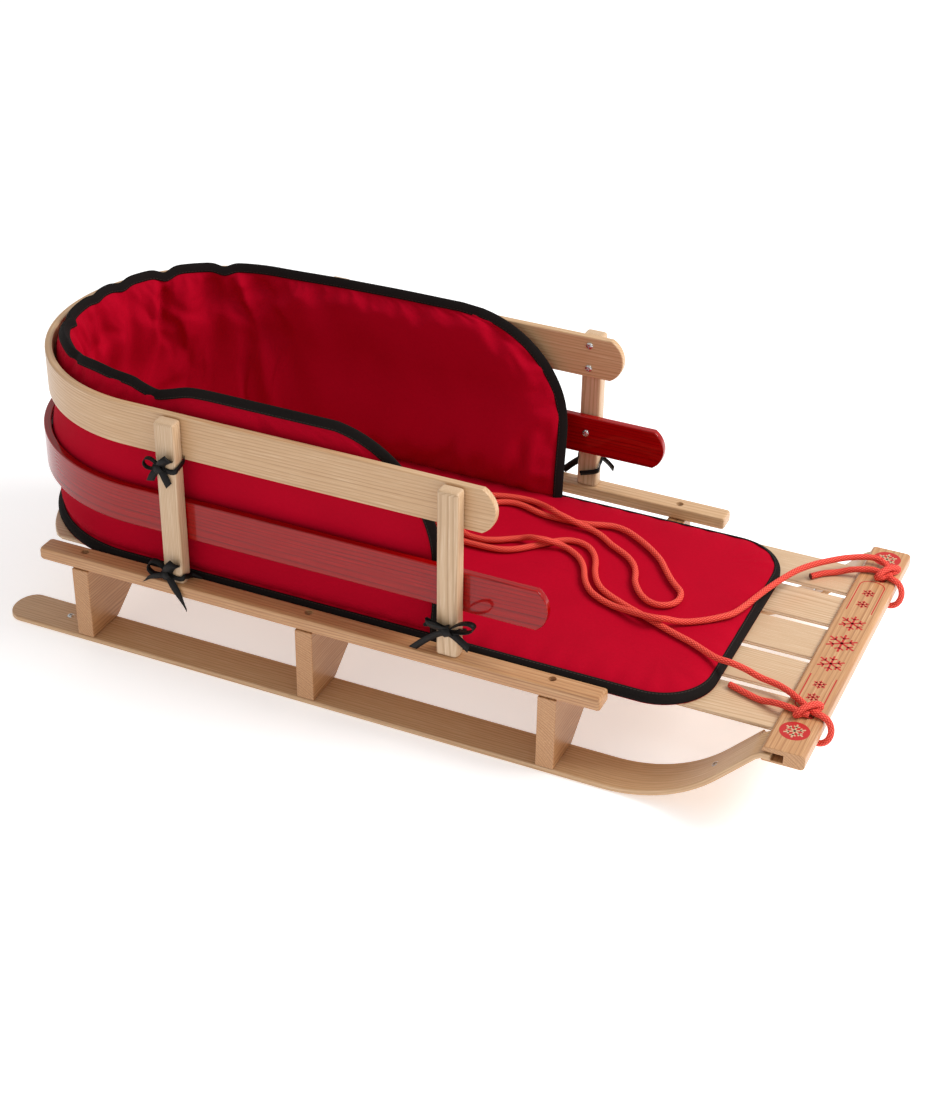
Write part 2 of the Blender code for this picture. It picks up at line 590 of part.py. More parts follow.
# ---- pull cord ----
REST = CORD_REST_Z
SLAT_REST = DECK_Z + SLAT_THICKNESS + GAP + CORD_RADIUS
CORD_ROUTE = [
    # from the near knot over the slats and on to the cushion
    (0.3925, -0.1030, 0.0995), (0.3830, -0.0975, 0.0992), (0.3740, -0.0945, 0.0997),
    (0.3590, -0.0932, 0.1012), (0.3440, -0.0912, 0.1045),
    (0.3300, -0.0920, REST), (0.3160, -0.0905, REST), (0.3020, -0.0842, REST),
    (0.2880, -0.0773, REST), (0.2727, -0.0715, REST), (0.2591, -0.0661, REST), (0.2380, -0.0568, REST),
    (0.2146, -0.0473, REST), (0.2024, -0.0415, REST), (0.1900, -0.0350, REST), (0.1787, -0.0265, REST),
    (0.1700, -0.0150, REST), (0.1634, -0.0015, REST), (0.1583, 0.0131, REST), (0.1516, 0.0255, REST),
    (0.1425, 0.0350, REST), (0.1310, 0.0395, REST), (0.1200, 0.0385, REST), (0.1110, 0.0330, REST),
    (0.1046, 0.0265, REST), (0.0973, 0.0188, REST), (0.0901, 0.0112, REST), (0.0827, 0.0040, REST),
    (0.0747, -0.0020, REST), (0.0656, -0.0058, REST), (0.0553, -0.0075, REST), (0.0443, -0.0080, REST),
    # the wide turn back, behind the cushion's wall
    (0.0270, -0.0075, REST), (0.0060, -0.0015, REST), (-0.0100, 0.0140, REST), (-0.0160, 0.0380, REST),
    (-0.0110, 0.0620, REST), (0.0040, 0.0790, REST), (0.0220, 0.0870, REST), (0.0394, 0.0915, REST),
    (0.0558, 0.0927, REST), (0.0660, 0.0905, REST + 0.0004),
    # over the later strand, and on round the loop
    (0.0746, 0.0857, REST + 0.0022), (0.0805, 0.0804, REST + 0.0043), (0.0866, 0.0750, REST + 0.0067),
    (0.0930, 0.0712, REST + 0.0069), (0.1010, 0.0689, REST + 0.0064), (0.1091, 0.0676, REST + 0.0052),
    (0.1172, 0.0668, REST + 0.0036), (0.1249, 0.0668, REST + 0.0019), (0.1328, 0.0661, REST + 0.0005),
    (0.1417, 0.0627, REST), (0.1506, 0.0570, REST), (0.1595, 0.0499, REST), (0.1684, 0.0444, REST),
    (0.1772, 0.0392, REST), (0.1859, 0.0325, REST), (0.1941, 0.0230, REST), (0.2002, 0.0110, REST),
    (0.2046, -0.0022, REST), (0.2113, -0.0136, REST), (0.2195, -0.0235, REST), (0.2290, -0.0300, REST),
    (0.2395, -0.0315, REST), (0.2482, -0.0270, REST), (0.2528, -0.0187, REST), (0.2530, -0.0095, REST),
    (0.2495, -0.0005, REST), (0.2417, 0.0075, REST), (0.2333, 0.0170, REST), (0.2240, 0.0295, REST),
    (0.2145, 0.0425, REST), (0.2033, 0.0536, REST), (0.1918, 0.0630, REST), (0.1785, 0.0722, REST),
    (0.1650, 0.0796, REST), (0.1524, 0.0822, REST), (0.1409, 0.0800, REST), (0.1296, 0.0762, REST),
    (0.1200, 0.0738, REST), (0.1110, 0.0728, REST), (0.1015, 0.0726, REST), (0.0920, 0.0722, REST),
    (0.0815, 0.0725, REST), (0.0720, 0.0744, REST), (0.0617, 0.0778, REST), (0.0517, 0.0806, REST),
    (0.0428, 0.0810, REST), (0.0331, 0.0782, REST), (0.0245, 0.0725, REST),
    # the tight turn back, inside the wide one
    (0.0135, 0.0610, REST), (0.0050, 0.0450, REST), (0.0050, 0.0280, REST), (0.0130, 0.0130, REST),
    (0.0270, 0.0045, REST), (0.0420, 0.0036, REST), (0.0503, 0.0061, REST), (0.0575, 0.0096, REST),
    (0.0643, 0.0140, REST), (0.0709, 0.0182, REST + 0.0002), (0.0770, 0.0208, REST + 0.0010),
    # over the first strand, beside it, and over it again on the way to the far knot
    (0.0835, 0.0212, REST + 0.0034), (0.0900, 0.0193, REST + 0.0057), (0.0964, 0.0180, REST + 0.0070),
    (0.1025, 0.0189, REST + 0.0070), (0.1080, 0.0212, REST + 0.0053), (0.1140, 0.0236, REST + 0.0029),
    (0.1215, 0.0242, REST + 0.0009), (0.1303, 0.0208, REST), (0.1393, 0.0145, REST), (0.1470, 0.0060, REST),
    (0.1535, -0.0050, REST), (0.1590, -0.0175, REST + 0.0002), (0.1660, -0.0290, REST),
    (0.1750, -0.0388, REST),
    (0.1880, -0.0466, REST), (0.2010, -0.0512, REST), (0.2098, -0.0538, REST + 0.0009),
    (0.2186, -0.0566, REST + 0.0024), (0.2270, -0.0594, REST + 0.0040), (0.2354, -0.0616, REST + 0.0053),
    (0.2436, -0.0630, REST + 0.0065), (0.2508, -0.0620, REST + 0.0067), (0.2572, -0.0585, REST + 0.0055),
    (0.2635, -0.0540, REST + 0.0026), (0.2700, -0.0490, REST + 0.0006), (0.2760, -0.0450, REST),
    (0.2870, -0.0370, REST), (0.2970, -0.0275, REST), (0.3065, -0.0160, REST), (0.3125, 0.0005, REST),
    (0.3177, 0.0200, REST), (0.3232, 0.0399, REST), (0.3292, 0.0592, REST - 0.0004), (0.3380, 0.0825, 0.1070),
    (0.3484, 0.1012, 0.1060), (0.3601, 0.1165, 0.1050), (0.3724, 0.1299, 0.1040), (0.3856, 0.1404, 0.1030),
    (0.3961, 0.1460, 0.1020), (0.4050, 0.1470, 0.1010),
]
NEAR_TAIL = [(0.3945, -0.1190, 0.0988), (0.3820, -0.1180, 0.0965), (0.3660, -0.1140, SLAT_REST + 0.0002),
             (0.3500, -0.1090, SLAT_REST), (0.3340, -0.1030, SLAT_REST)]
FAR_TAIL = [(0.3945, 0.1265, 0.0988), (0.3830, 0.1250, 0.0965), (0.3700, 0.1210, SLAT_REST + 0.0002),
            (0.3580, 0.1130, SLAT_REST), (0.3480, 0.1020, SLAT_REST)]
LOOP_SIDE = [(0.4235, 0.0990), (0.4295, 0.0955), (0.4330, 0.0890), (0.4345, 0.0815), (0.4325, 0.0730),
             (0.4265, 0.0678), (0.4190, 0.0680), (0.4145, 0.0735), (0.4135, 0.0800), (0.4135, 0.0870),
             (0.4135, 0.0935)]


def smooth_points(route, count):
    """Evenly spaced points on the smooth curve through the route's own points."""
    route = [Vector(point) for point in route]
    padded = [2 * route[0] - route[1]] + route + [2 * route[-1] - route[-2]]
    dense = []
    for a, b, c, d in zip(padded, padded[1:], padded[2:], padded[3:]):
        for step in range(12):
            t = step / 12
            dense.append(0.5 * (2 * b + (c - a) * t + (2 * a - 5 * b + 4 * c - d) * t ** 2
                                + (3 * b - a - 3 * c + d) * t ** 3))
    dense.append(route[-1])
    reach = [0.0]
    for before, after in zip(dense, dense[1:]):
        reach.append(reach[-1] + (after - before).length)
    points, index = [], 0
    for step in range(count):
        target = reach[-1] * step / (count - 1)
        while index < len(reach) - 2 and reach[index + 1] < target:
            index += 1
        share = (target - reach[index]) / (reach[index + 1] - reach[index])
        points.append(dense[index].lerp(dense[index + 1], share))
    return points


def build_cord():
    tube("pull_cord", smooth_points(CORD_ROUTE, CORD_POINTS), CORD_RADIUS, CORAL_CORD)
    tube("cord_tail_near", smooth_points(NEAR_TAIL, 6), CORD_RADIUS, CORAL_CORD)
    tube("cord_tail_far", smooth_points(FAR_TAIL, 6), CORD_RADIUS, CORAL_CORD)
    for label, side in SIDES.items():
        route = [(x, side * KNOT_Y, z) for x, z in LOOP_SIDE]
        tube(f"cord_loop_{label}", smooth_points(route, 14), CORD_RADIUS, CORAL_CORD)
        low = Vector((KNOT_X - KNOT_SIZE[0] / 2, side * KNOT_Y - KNOT_SIZE[1] / 2, BAR_Z[1] + GAP))
        block(f"cord_knot_{label}", low, low + Vector(KNOT_SIZE), CORAL_CORD, 0.005)


build_runners()
build_braces()
build_deck_rails()
build_slats()
build_front_bar()
build_posts()
build_bent_rail("upper_bent_rail", UPPER_RAIL, ASH, UPPER_SCREW_Z)
build_bent_rail("lower_bent_rail", LOWER_RAIL, RED_LACQUER, LOWER_SCREW_Z)
build_cushion()
build_bows()
build_cord()
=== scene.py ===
"""The looks of a child's wooden pull sled: bent ash, red lacquer, padded cloth, ribbon and a braided cord.

Metres, +Z up, +X towards the front bar. "near" is the side at -Y, which the camera sees, and "far" is at +Y.
"""
import math

import bmesh
import bpy
import numpy as np
from mathutils import Matrix, Vector, noise


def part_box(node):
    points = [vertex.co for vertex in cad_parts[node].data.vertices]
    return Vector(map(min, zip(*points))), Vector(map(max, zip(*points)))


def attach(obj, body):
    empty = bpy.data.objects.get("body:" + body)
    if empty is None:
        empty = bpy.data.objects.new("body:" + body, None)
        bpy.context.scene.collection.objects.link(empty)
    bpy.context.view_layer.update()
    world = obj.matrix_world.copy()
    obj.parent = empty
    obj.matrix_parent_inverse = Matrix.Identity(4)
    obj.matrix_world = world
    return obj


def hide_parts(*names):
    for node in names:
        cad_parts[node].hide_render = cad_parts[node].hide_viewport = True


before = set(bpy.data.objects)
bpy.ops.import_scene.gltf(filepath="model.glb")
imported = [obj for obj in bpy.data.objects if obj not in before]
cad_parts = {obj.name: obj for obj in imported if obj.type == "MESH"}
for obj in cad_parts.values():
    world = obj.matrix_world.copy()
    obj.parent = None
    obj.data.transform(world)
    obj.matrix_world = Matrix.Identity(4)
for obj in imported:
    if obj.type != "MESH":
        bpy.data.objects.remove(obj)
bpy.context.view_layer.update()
scene = bpy.context.scene
SIDES = {"near": -1, "far": 1}
MM = 0.001


# ---- camera ----
def add_camera(location, azimuth, elevation, roll, lens):
    a, e, r = (math.radians(angle) for angle in (azimuth, elevation, roll))
    back = Vector((math.sin(a) * math.cos(e), -math.cos(a) * math.cos(e), math.sin(e)))
    right = Vector((math.cos(a), math.sin(a), 0.0))
    up = back.cross(right)
    axes = (right * math.cos(r) + up * math.sin(r), up * math.cos(r) - right * math.sin(r), back)
    camera = bpy.data.objects.new("camera", bpy.data.cameras.new("camera"))
    scene.collection.objects.link(camera)
    camera.data.lens = lens
    camera.data.sensor_width = 36.0
    camera.matrix_world = Matrix.Translation(location) @ Matrix(axes).transposed().to_4x4()
    scene.camera = camera


add_camera(location=(0.7373, -1.5799, 1.1770), azimuth=23.92, elevation=31.96, roll=0.90, lens=68.146)


# ---- materials ----
class Graph:
    """A material's nodes, with short ways to add and join them. An input is a socket or a value."""

    def __init__(self, name, **shader_values):
        self.material = bpy.data.materials.new(name)
        self.material.use_nodes = True
        self.tree = self.material.node_tree
        self.shader = self.tree.nodes["Principled BSDF"]
        for key, value in shader_values.items():
            self.set(self.shader, key.replace("_", " "), value)

    def set(self, node, key, value):
        if isinstance(value, bpy.types.NodeSocket):
            self.tree.links.new(value, node.inputs[key])
        elif isinstance(value, tuple) and len(value) == 3 and node.inputs[key].type == "RGBA":
            node.inputs[key].default_value = (*value, 1.0)
        else:
            node.inputs[key].default_value = value

    def add(self, kind, inputs, **settings):
        node = self.tree.nodes.new("ShaderNode" + kind)
        for key, value in settings.items():
            setattr(node, key, value)
        for key, value in inputs.items():
            self.set(node, key, value)
        return node

    def math(self, operation, *values):
        return self.add("Math", dict(enumerate(values)), operation=operation).outputs[0]

    def plus(self, *values):
        return self.math("ADD", *values)

    def minus(self, *values):
        return self.math("SUBTRACT", *values)

    def times(self, *values):
        return self.math("MULTIPLY", *values)

    def vector(self, operation, *values, output="Vector"):
        return self.add("VectorMath", dict(enumerate(values)), operation=operation).outputs[output]

    def attribute(self, name):
        return self.add("Attribute", {}, attribute_name=name).outputs["Vector"]

    def noise(self, vector, scale, detail=2.0, roughness=0.5):
        """Noise about 0.5; scale may be one number or three, for features per metre along each axis."""
        scaled = self.vector("MULTIPLY", vector, scale if isinstance(scale, tuple) else (scale,) * 3)
        inputs = {"Vector": scaled, "Scale": 1.0, "Detail": detail, "Roughness": roughness}
        return self.add("TexNoise", inputs).outputs["Fac"]

    def ramp(self, factor, stops):
        node = self.add("ValToRGB", {"Fac": factor})
        elements = node.color_ramp.elements
        while len(elements) < len(stops):
            elements.new(1.0)
        for element, (place, colour) in zip(elements, stops):
            element.position = place
            element.color = (*colour, 1.0)
        return node.outputs["Color"]

    def mix(self, factor, a, b, blend="MIX"):
        return self.add("Mix", {0: factor, 6: a, 7: b}, data_type="RGBA", blend_type=blend).outputs[2]

    def bump(self, height, strength, distance):
        inputs = {"Height": height, "Strength": strength, "Distance": distance}
        self.set(self.shader, "Normal", self.add("Bump", inputs).outputs["Normal"])

    def gloss(self, variation, amount):
        """Roughness that varies about the shader's own value."""
        middle = self.shader.inputs["Roughness"].default_value
        self.set(self.shader, "Roughness", self.plus(self.times(variation, amount), middle - amount / 2))


def srgb(red, green, blue):
    """A colour given in display values from 0 to 255, as the shader's linear values."""
    return tuple(c / 3294.6 if c <= 10.3 else ((c / 255 + 0.055) / 1.055) ** 2.4 for c in (red, green, blue))


def wood(name, pale, middle, line, tints, ring_width=2.5 * MM, **shader_values):
    """Sawn ash. The "grain" attribute holds metres along the grain, and across it from the tree's middle."""
    g = Graph(name, **shader_values)
    grain = g.attribute("grain")
    slow = {"Vector": g.vector("MULTIPLY", grain, (2.2, 11.0, 11.0)), "Scale": 1.0, "Detail": 1.5}
    sway = g.vector("SUBTRACT", g.add("TexNoise", slow).outputs["Color"], (0.5, 0.5, 0.5))
    swayed = g.vector("ADD", grain, g.vector("MULTIPLY", sway, (0.0, 0.011, 0.011)))
    radius = g.vector("LENGTH", g.vector("MULTIPLY", swayed, (0.0, 1.0, 1.0)), output="Value")
    outwards = {"W": g.times(radius, 95.0), "Scale": 1.0, "Detail": 1.0}
    uneven = g.add("TexNoise", outwards, noise_dimensions="1D").outputs["Fac"]
    phase = g.plus(g.math("DIVIDE", radius, ring_width), g.times(uneven, 1.6))
    ring = g.math("FRACT", phase)
    early = g.ramp(ring, [(0.0, pale), (0.45, pale), (0.72, middle), (0.88, line), (0.94, line), (1.0, pale)])
    strength = g.times(g.noise(grain, (5.0, 60.0, 60.0)), 1.25)
    rings = g.mix(g.math("MINIMUM", strength, 1.0), pale, early)
    fibre = g.noise(grain, (24.0, 1100.0, 1100.0), detail=3.0, roughness=0.65)
    pores = g.noise(grain, (70.0, 2400.0, 2400.0), detail=1.0)
    near_line = g.ramp(ring, [(0.0, (0.2,) * 3), (0.6, (0.1,) * 3), (0.8, (1.0,) * 3), (1.0, (0.9,) * 3)])
    pore = g.times(g.math("GREATER_THAN", pores, 0.62), near_line)
    tone = g.mix(g.noise(grain, (1.6, 9.0, 9.0)), tints[0], tints[1])
    base = g.mix(0.75, rings, tone, blend="MULTIPLY")
    streaks = g.math("MINIMUM", g.math("MAXIMUM", g.minus(g.times(fibre, 2.4), 0.7), 0.0), 0.5)
    base = g.mix(streaks, base, g.mix(1.0, base, middle, blend="MULTIPLY"))
    base = g.mix(g.times(pore, 0.5), base, line)
    g.set(g.shader, "Base Color", base)
    g.gloss(fibre, 0.14)
    g.bump(g.minus(fibre, g.times(pore, 0.8)), 0.35, 0.06 * MM)
    return g.material


STITCH_LINE = 1.6 * MM       # from the tape's free edge
STITCH_HALF_WIDTH = 0.35 * MM
STITCH_PITCH = 3.6 * MM
STITCH_SHARE = 0.72          # of the pitch that is thread


def cloth(name, colour, dark, pitch, rise, strength, stitched=False, **shader_values):
    """Plain weave. The "weave" attribute holds metres along the two threads, and in from a sewn edge."""
    g = Graph(name, **shader_values)
    weave = g.attribute("weave")
    split = g.add("SeparateXYZ", {"Vector": weave})
    turns = 2 * math.pi / pitch
    warp, weft = (g.math("SINE", g.times(split.outputs[axis], turns)) for axis in ("X", "Y"))
    over = g.times(warp, weft)
    threads = g.plus(g.times(over, 0.5), 0.5)
    fuzz = g.noise(weave, 900.0, detail=3.0)
    cloudy = g.plus(g.noise(weave, 22.0, detail=3.0), g.noise(weave, 330.0, detail=3.0))
    shade = g.plus(g.plus(g.times(threads, 0.30), g.times(fuzz, 0.30)), g.times(g.minus(cloudy, 0.5), 0.45))
    base = g.mix(shade, dark, colour)
    height = g.plus(threads, g.times(fuzz, 0.6))
    if stitched:
        off_line = g.math("ABSOLUTE", g.minus(split.outputs["Z"], STITCH_LINE))
        on_line = g.math("LESS_THAN", off_line, STITCH_HALF_WIDTH)
        turns = g.math("DIVIDE", split.outputs["X"], STITCH_PITCH)
        dash = g.math("LESS_THAN", g.math("FRACT", turns), STITCH_SHARE)
        stitch = g.times(on_line, dash)
        base = g.mix(stitch, base, srgb(54, 47, 43))
        height = g.plus(height, g.times(stitch, 2.5))
    g.set(g.shader, "Base Color", base)
    g.bump(height, strength, rise)
    return g.material


BRAID_PITCH = 4.2 * MM       # along the cord for one strand to come round to its neighbour's place
BRAID_STRANDS = 4.0          # strands that cross the half round of the cord, each way


def braid():
    """Round braid. The "braid" attribute holds metres along the cord, and half turns about it."""
    g = Graph("coral_braid", Roughness=0.62, Specular_IOR_Level=0.25)
    split = g.add("SeparateXYZ", {"Vector": g.attribute("braid")})
    along, round_ = split.outputs["X"], split.outputs["Y"]
    spirals = []
    for direction in (1, -1):
        turn = g.times(round_, BRAID_STRANDS * direction)
        phase = g.plus(g.math("DIVIDE", along, BRAID_PITCH), turn)
        spirals.append(g.math("ABSOLUTE", g.math("SINE", g.times(phase, math.pi))))
    strands = g.math("MINIMUM", spirals[0], spirals[1])
    fuzz = g.noise(g.attribute("braid"), (1400.0, 60.0, 1.0), detail=2.0)
    # Painted shade and highlight: the colour is darker in the grooves between the strands, where shade falls,
    # and lighter on the strands' crowns.
    shade = g.plus(strands, g.times(fuzz, 0.2))
    groove_shade_crown_highlight = [(0.08, srgb(140, 10, 10)), (0.40, srgb(234, 54, 44)), (0.85, srgb(255, 104, 84))]
    g.set(g.shader, "Base Color", g.ramp(shade, groove_shade_crown_highlight))
    g.bump(g.plus(strands, g.times(fuzz, 0.3)), 0.9, 0.5 * MM)
    return g.material


def plain(name, colour, speckle, **shader_values):
    """An even finish with a faint mottle, for metal and paint."""
    g = Graph(name, **shader_values)
    spots = g.noise(g.add("TexCoord", {}).outputs["Object"], speckle, detail=4.0)
    darker = tuple(c * 0.72 for c in colour)
    g.set(g.shader, "Base Color", g.mix(g.times(spots, 0.35), colour, darker))
    g.gloss(spots, 0.16)
    g.bump(spots, 0.2, 0.03 * MM)
    return g.material


SATIN = {"Roughness": 0.42, "Coat_Weight": 0.22, "Coat_Roughness": 0.25}
LACQUER = {"Roughness": 0.24, "Specular_IOR_Level": 0.1, "Coat_Weight": 0.55, "Coat_Roughness": 0.05}
ASH = wood("ash", srgb(226, 200, 168), srgb(213, 182, 145), srgb(190, 154, 117),
           (srgb(252, 243, 230), srgb(243, 226, 203)), **SATIN)
TAN_ASH = wood("tan_ash", srgb(218, 183, 143), srgb(200, 160, 117), srgb(172, 128, 90),
               (srgb(255, 240, 220), srgb(236, 206, 174)), **SATIN)
PALE_ASH = wood("pale_ash", srgb(226, 206, 180), srgb(214, 190, 160), srgb(190, 160, 128),
                (srgb(255, 246, 236), srgb(248, 230, 210)), ring_width=1.3 * MM, **SATIN)
RED_ASH = wood("red_lacquer", srgb(184, 10, 10), srgb(170, 6, 8), srgb(122, 2, 4),
               (srgb(255, 236, 236), srgb(238, 200, 200)), **LACQUER)
CLOTH = cloth("crimson_cloth", srgb(190, 0, 36), srgb(158, 0, 27), 0.9 * MM, 0.12 * MM, 0.35,
              Roughness=0.85, Specular_IOR_Level=0.07)
TAPE = cloth("black_binding", srgb(33, 27, 25), srgb(15, 12, 12), 1.3 * MM, 0.20 * MM, 0.6, stitched=True,
             Roughness=0.85, Specular_IOR_Level=0.10)
RIBBON = cloth("black_ribbon", srgb(24, 20, 19), srgb(10, 9, 9), 1.0 * MM, 0.10 * MM, 0.5,
               Roughness=0.5, Specular_IOR_Level=0.18)
BRAID = braid()
MELTED = plain("melted_cord_end", srgb(96, 10, 8), 900.0, Roughness=0.35)
STEEL = plain("bright_steel", srgb(214, 214, 212), 700.0, Roughness=0.24, Metallic=1.0)
PRINT = plain("red_print", srgb(190, 44, 42), 500.0, Roughness=0.5, Specular_IOR_Level=0.3)


# ---- meshes ----
def new_piece(name, mesh, material, replaces=(), smooth=True):
    """An object of the sled, which rides with it and takes the place of the named nodes."""
    mesh.materials.clear()
    mesh.materials.append(material)
    if smooth:
        mesh.shade_smooth()
    piece = bpy.data.objects.new(name, mesh)
    scene.collection.objects.link(piece)
    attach(piece, "root")
    if replaces:
        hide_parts(*replaces)
    return piece


def set_vectors(mesh, name, values):
    attribute = mesh.attributes.new(name, "FLOAT_VECTOR", "POINT")
    attribute.data.foreach_set("vector", np.asarray(values, np.float32).ravel())


def from_bmesh(name, bm):
    mesh = bpy.data.meshes.new(name)
    bm.to_mesh(mesh)
    bm.free()
    return mesh


def move_points(mesh, points):
    mesh.vertices.foreach_set("co", np.asarray(points, np.float32).ravel())
    mesh.update()


def positions(mesh):
    flat = np.zeros(len(mesh.vertices) * 3, np.float32)
    mesh.vertices.foreach_get("co", flat)
    return flat.reshape(-1, 3).astype(float)


def grid_mesh(name, points, wrap=False, caps=False):
    """A mesh on rows of points. wrap joins each row's end to its start, and caps closes both end rows."""
    rows, columns = points.shape[:2]
    steps = columns if wrap else columns - 1
    faces = [(r * columns + c, r * columns + (c + 1) % columns, (r + 1) * columns + (c + 1) % columns,
              (r + 1) * columns + c) for r in range(rows - 1) for c in range(steps)]
    if caps:
        faces += [tuple(range(columns))[::-1], tuple((rows - 1) * columns + c for c in range(columns))]
    mesh = bpy.data.meshes.new(name)
    mesh.from_pydata(points.reshape(-1, 3).tolist(), [], faces)
    return mesh


def unit(vectors):
    return vectors / np.maximum(np.linalg.norm(vectors, axis=-1, keepdims=True), 1e-12)


def lengths_along(line):
    return np.concatenate([[0.0], np.cumsum(np.linalg.norm(np.diff(line, axis=0), axis=1))])


def read_at(places, along, values):
    """Each column of the values, known at lengths along a line, read at other lengths."""
    return np.stack([np.interp(places, along, column) for column in values.T], axis=1)


def smooth_line(route, step):
    """Evenly spaced points on the smooth curve through the route's own points."""
    route = np.array(route, float)
    padded = np.vstack([2 * route[0] - route[1], route, 2 * route[-1] - route[-2]])
    dense = []
    for a, b, c, d in zip(padded, padded[1:], padded[2:], padded[3:]):
        for t in np.arange(12) / 12:
            squared, cubed = (2 * a - 5 * b + 4 * c - d) * t ** 2, (3 * b - a - 3 * c + d) * t ** 3
            dense.append(0.5 * (2 * b + (c - a) * t + squared + cubed))
    dense = np.vstack([dense, route[-1:]])
    along = lengths_along(dense)
    places = np.linspace(0, along[-1], max(3, round(along[-1] / step) + 1))
    return read_at(places, along, dense)


# ---- wood ----
GRAIN_AXES = {"X": (0, 1, 2), "Y": (1, 0, 2), "Z": (2, 0, 1)}


def eased_edges(bm, edges, rounding):
    bmesh.ops.bevel(bm, geom=edges, offset=rounding, segments=3, profile=0.5, affect="EDGES",
                    clamp_overlap=True)


def wooden(node, mesh, material):
    """The drawn piece of a wooden node."""
    piece = new_piece("wood_" + node, mesh, material, [node])
    piece.modifiers.new("even_shading", "WEIGHTED_NORMAL")


def carved(node, material, axis, pith, rounding, undercut=0.0):
    """A wooden node with its sharp edges eased and, with an undercut, its long edges cut under.

    pith is the way across the grain to the tree's middle.
    """
    bm = bmesh.new()
    bm.from_mesh(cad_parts[node].data)
    bmesh.ops.remove_doubles(bm, verts=bm.verts, dist=1e-6)
    bmesh.ops.dissolve_limit(bm, angle_limit=math.radians(1), verts=bm.verts, edges=bm.edges)
    sharp = [e for e in bm.edges if len(e.link_faces) == 2 and e.calc_face_angle(0) > math.radians(42)]
    eased_edges(bm, sharp, rounding)
    low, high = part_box(node)
    centre = np.array((low + high) / 2)
    for vertex in bm.verts:
        if undercut and vertex.co.z < centre[2]:
            vertex.co.y = min(max(vertex.co.y, low.y + undercut), high.y - undercut)
    mesh = from_bmesh("carved_" + node, bm)
    across = (positions(mesh) - centre)[:, GRAIN_AXES[axis]]
    start = 0.37 * list(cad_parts).index(node)
    set_vectors(mesh, "grain", across + (start, *pith))
    wooden(node, mesh, material)


def bend_along(line):
    """A function that takes lengths along a 2D line to places on it and to the directions square to it."""
    along = lengths_along(line)
    tangent = unit(np.gradient(line, axis=0))
    square = np.stack([-tangent[:, 1], tangent[:, 0]], axis=1)

    def place(lengths):
        return read_at(lengths, along, line), unit(read_at(lengths, along, square))

    return place, along[-1]


def plank(outline, thickness, rounding, step):
    """A flat plank in X (along), Y (across) and Z (thickness), cut across often enough to bend."""
    bm = bmesh.new()
    face = bm.faces.new([bm.verts.new((u, v, -thickness / 2)) for u, v in outline])
    grown = bmesh.ops.extrude_face_region(bm, geom=[face])["geom"]
    corners = [item for item in grown if isinstance(item, bmesh.types.BMVert)]
    bmesh.ops.translate(bm, verts=corners, vec=(0, 0, thickness))
    bmesh.ops.recalc_face_normals(bm, faces=bm.faces)
    rims = [e for e in bm.edges if abs(e.verts[0].co.z - e.verts[1].co.z) < 1e-9]
    eased_edges(bm, rims, rounding)
    ends = [u for u, _ in outline]
    for cut in np.arange(min(ends) + step, max(ends), step):
        everything = bm.verts[:] + bm.edges[:] + bm.faces[:]
        bmesh.ops.bisect_plane(bm, geom=everything, plane_co=(cut, 0, 0), plane_no=(1, 0, 0))
    return from_bmesh("plank", bm)


def arc(centre, radius, start, end, steps):
    angles = np.radians(np.linspace(start, end, steps + 1))
    return [(centre[0] + radius * math.cos(a), centre[1] + radius * math.sin(a)) for a in angles]


BEND_CENTRE_X = -0.2505
BENT_THICKNESS = 7.6 * MM
END_ARC_RADIUS = 25 * MM


def bent_rail(node, fronts, material, pith):
    """A plank bent to a U round the back of the seat, with its grain along it."""
    low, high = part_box(node)
    half = high.y - BENT_THICKNESS / 2
    depth = BEND_CENTRE_X - low.x - BENT_THICKNESS / 2
    angles = np.radians(np.linspace(270, 90, 200))
    bend = np.stack([BEND_CENTRE_X + depth * np.cos(angles), half * np.sin(angles)], axis=1)
    line = np.vstack([[fronts[0], -half], bend, [fronts[1], half]])
    place, total = bend_along(line)
    middle_z, half_width = (low.z + high.z) / 2, (high.z - low.z) / 2
    turn = math.degrees(math.asin(half_width / END_ARC_RADIUS))
    outline = arc((END_ARC_RADIUS, 0), END_ARC_RADIUS, 180 - turn, 180 + turn, 14)
    outline += arc((total - END_ARC_RADIUS, 0), END_ARC_RADIUS, -turn, turn, 14)
    mesh = plank(outline, BENT_THICKNESS, 1.3 * MM, 7 * MM)
    flat = positions(mesh)
    spot, outward = place(flat[:, 0])
    plan = spot + outward * flat[:, 2:3]
    set_vectors(mesh, "grain", flat + (0.4 + pith[0], *pith))
    move_points(mesh, np.column_stack([plan, flat[:, 1] + middle_z]))
    wooden(node, mesh, material)


RUNNER_BEND_X = 0.2445
RUNNER_BEND_RADIUS = 0.150
RUNNER_SLOPE = math.radians(46)
RUNNER_TIP_RADIUS = 9 * MM
RUNNER_TIP_Z = 85.15 * MM
RUNNER_TIP_X = 0.3973


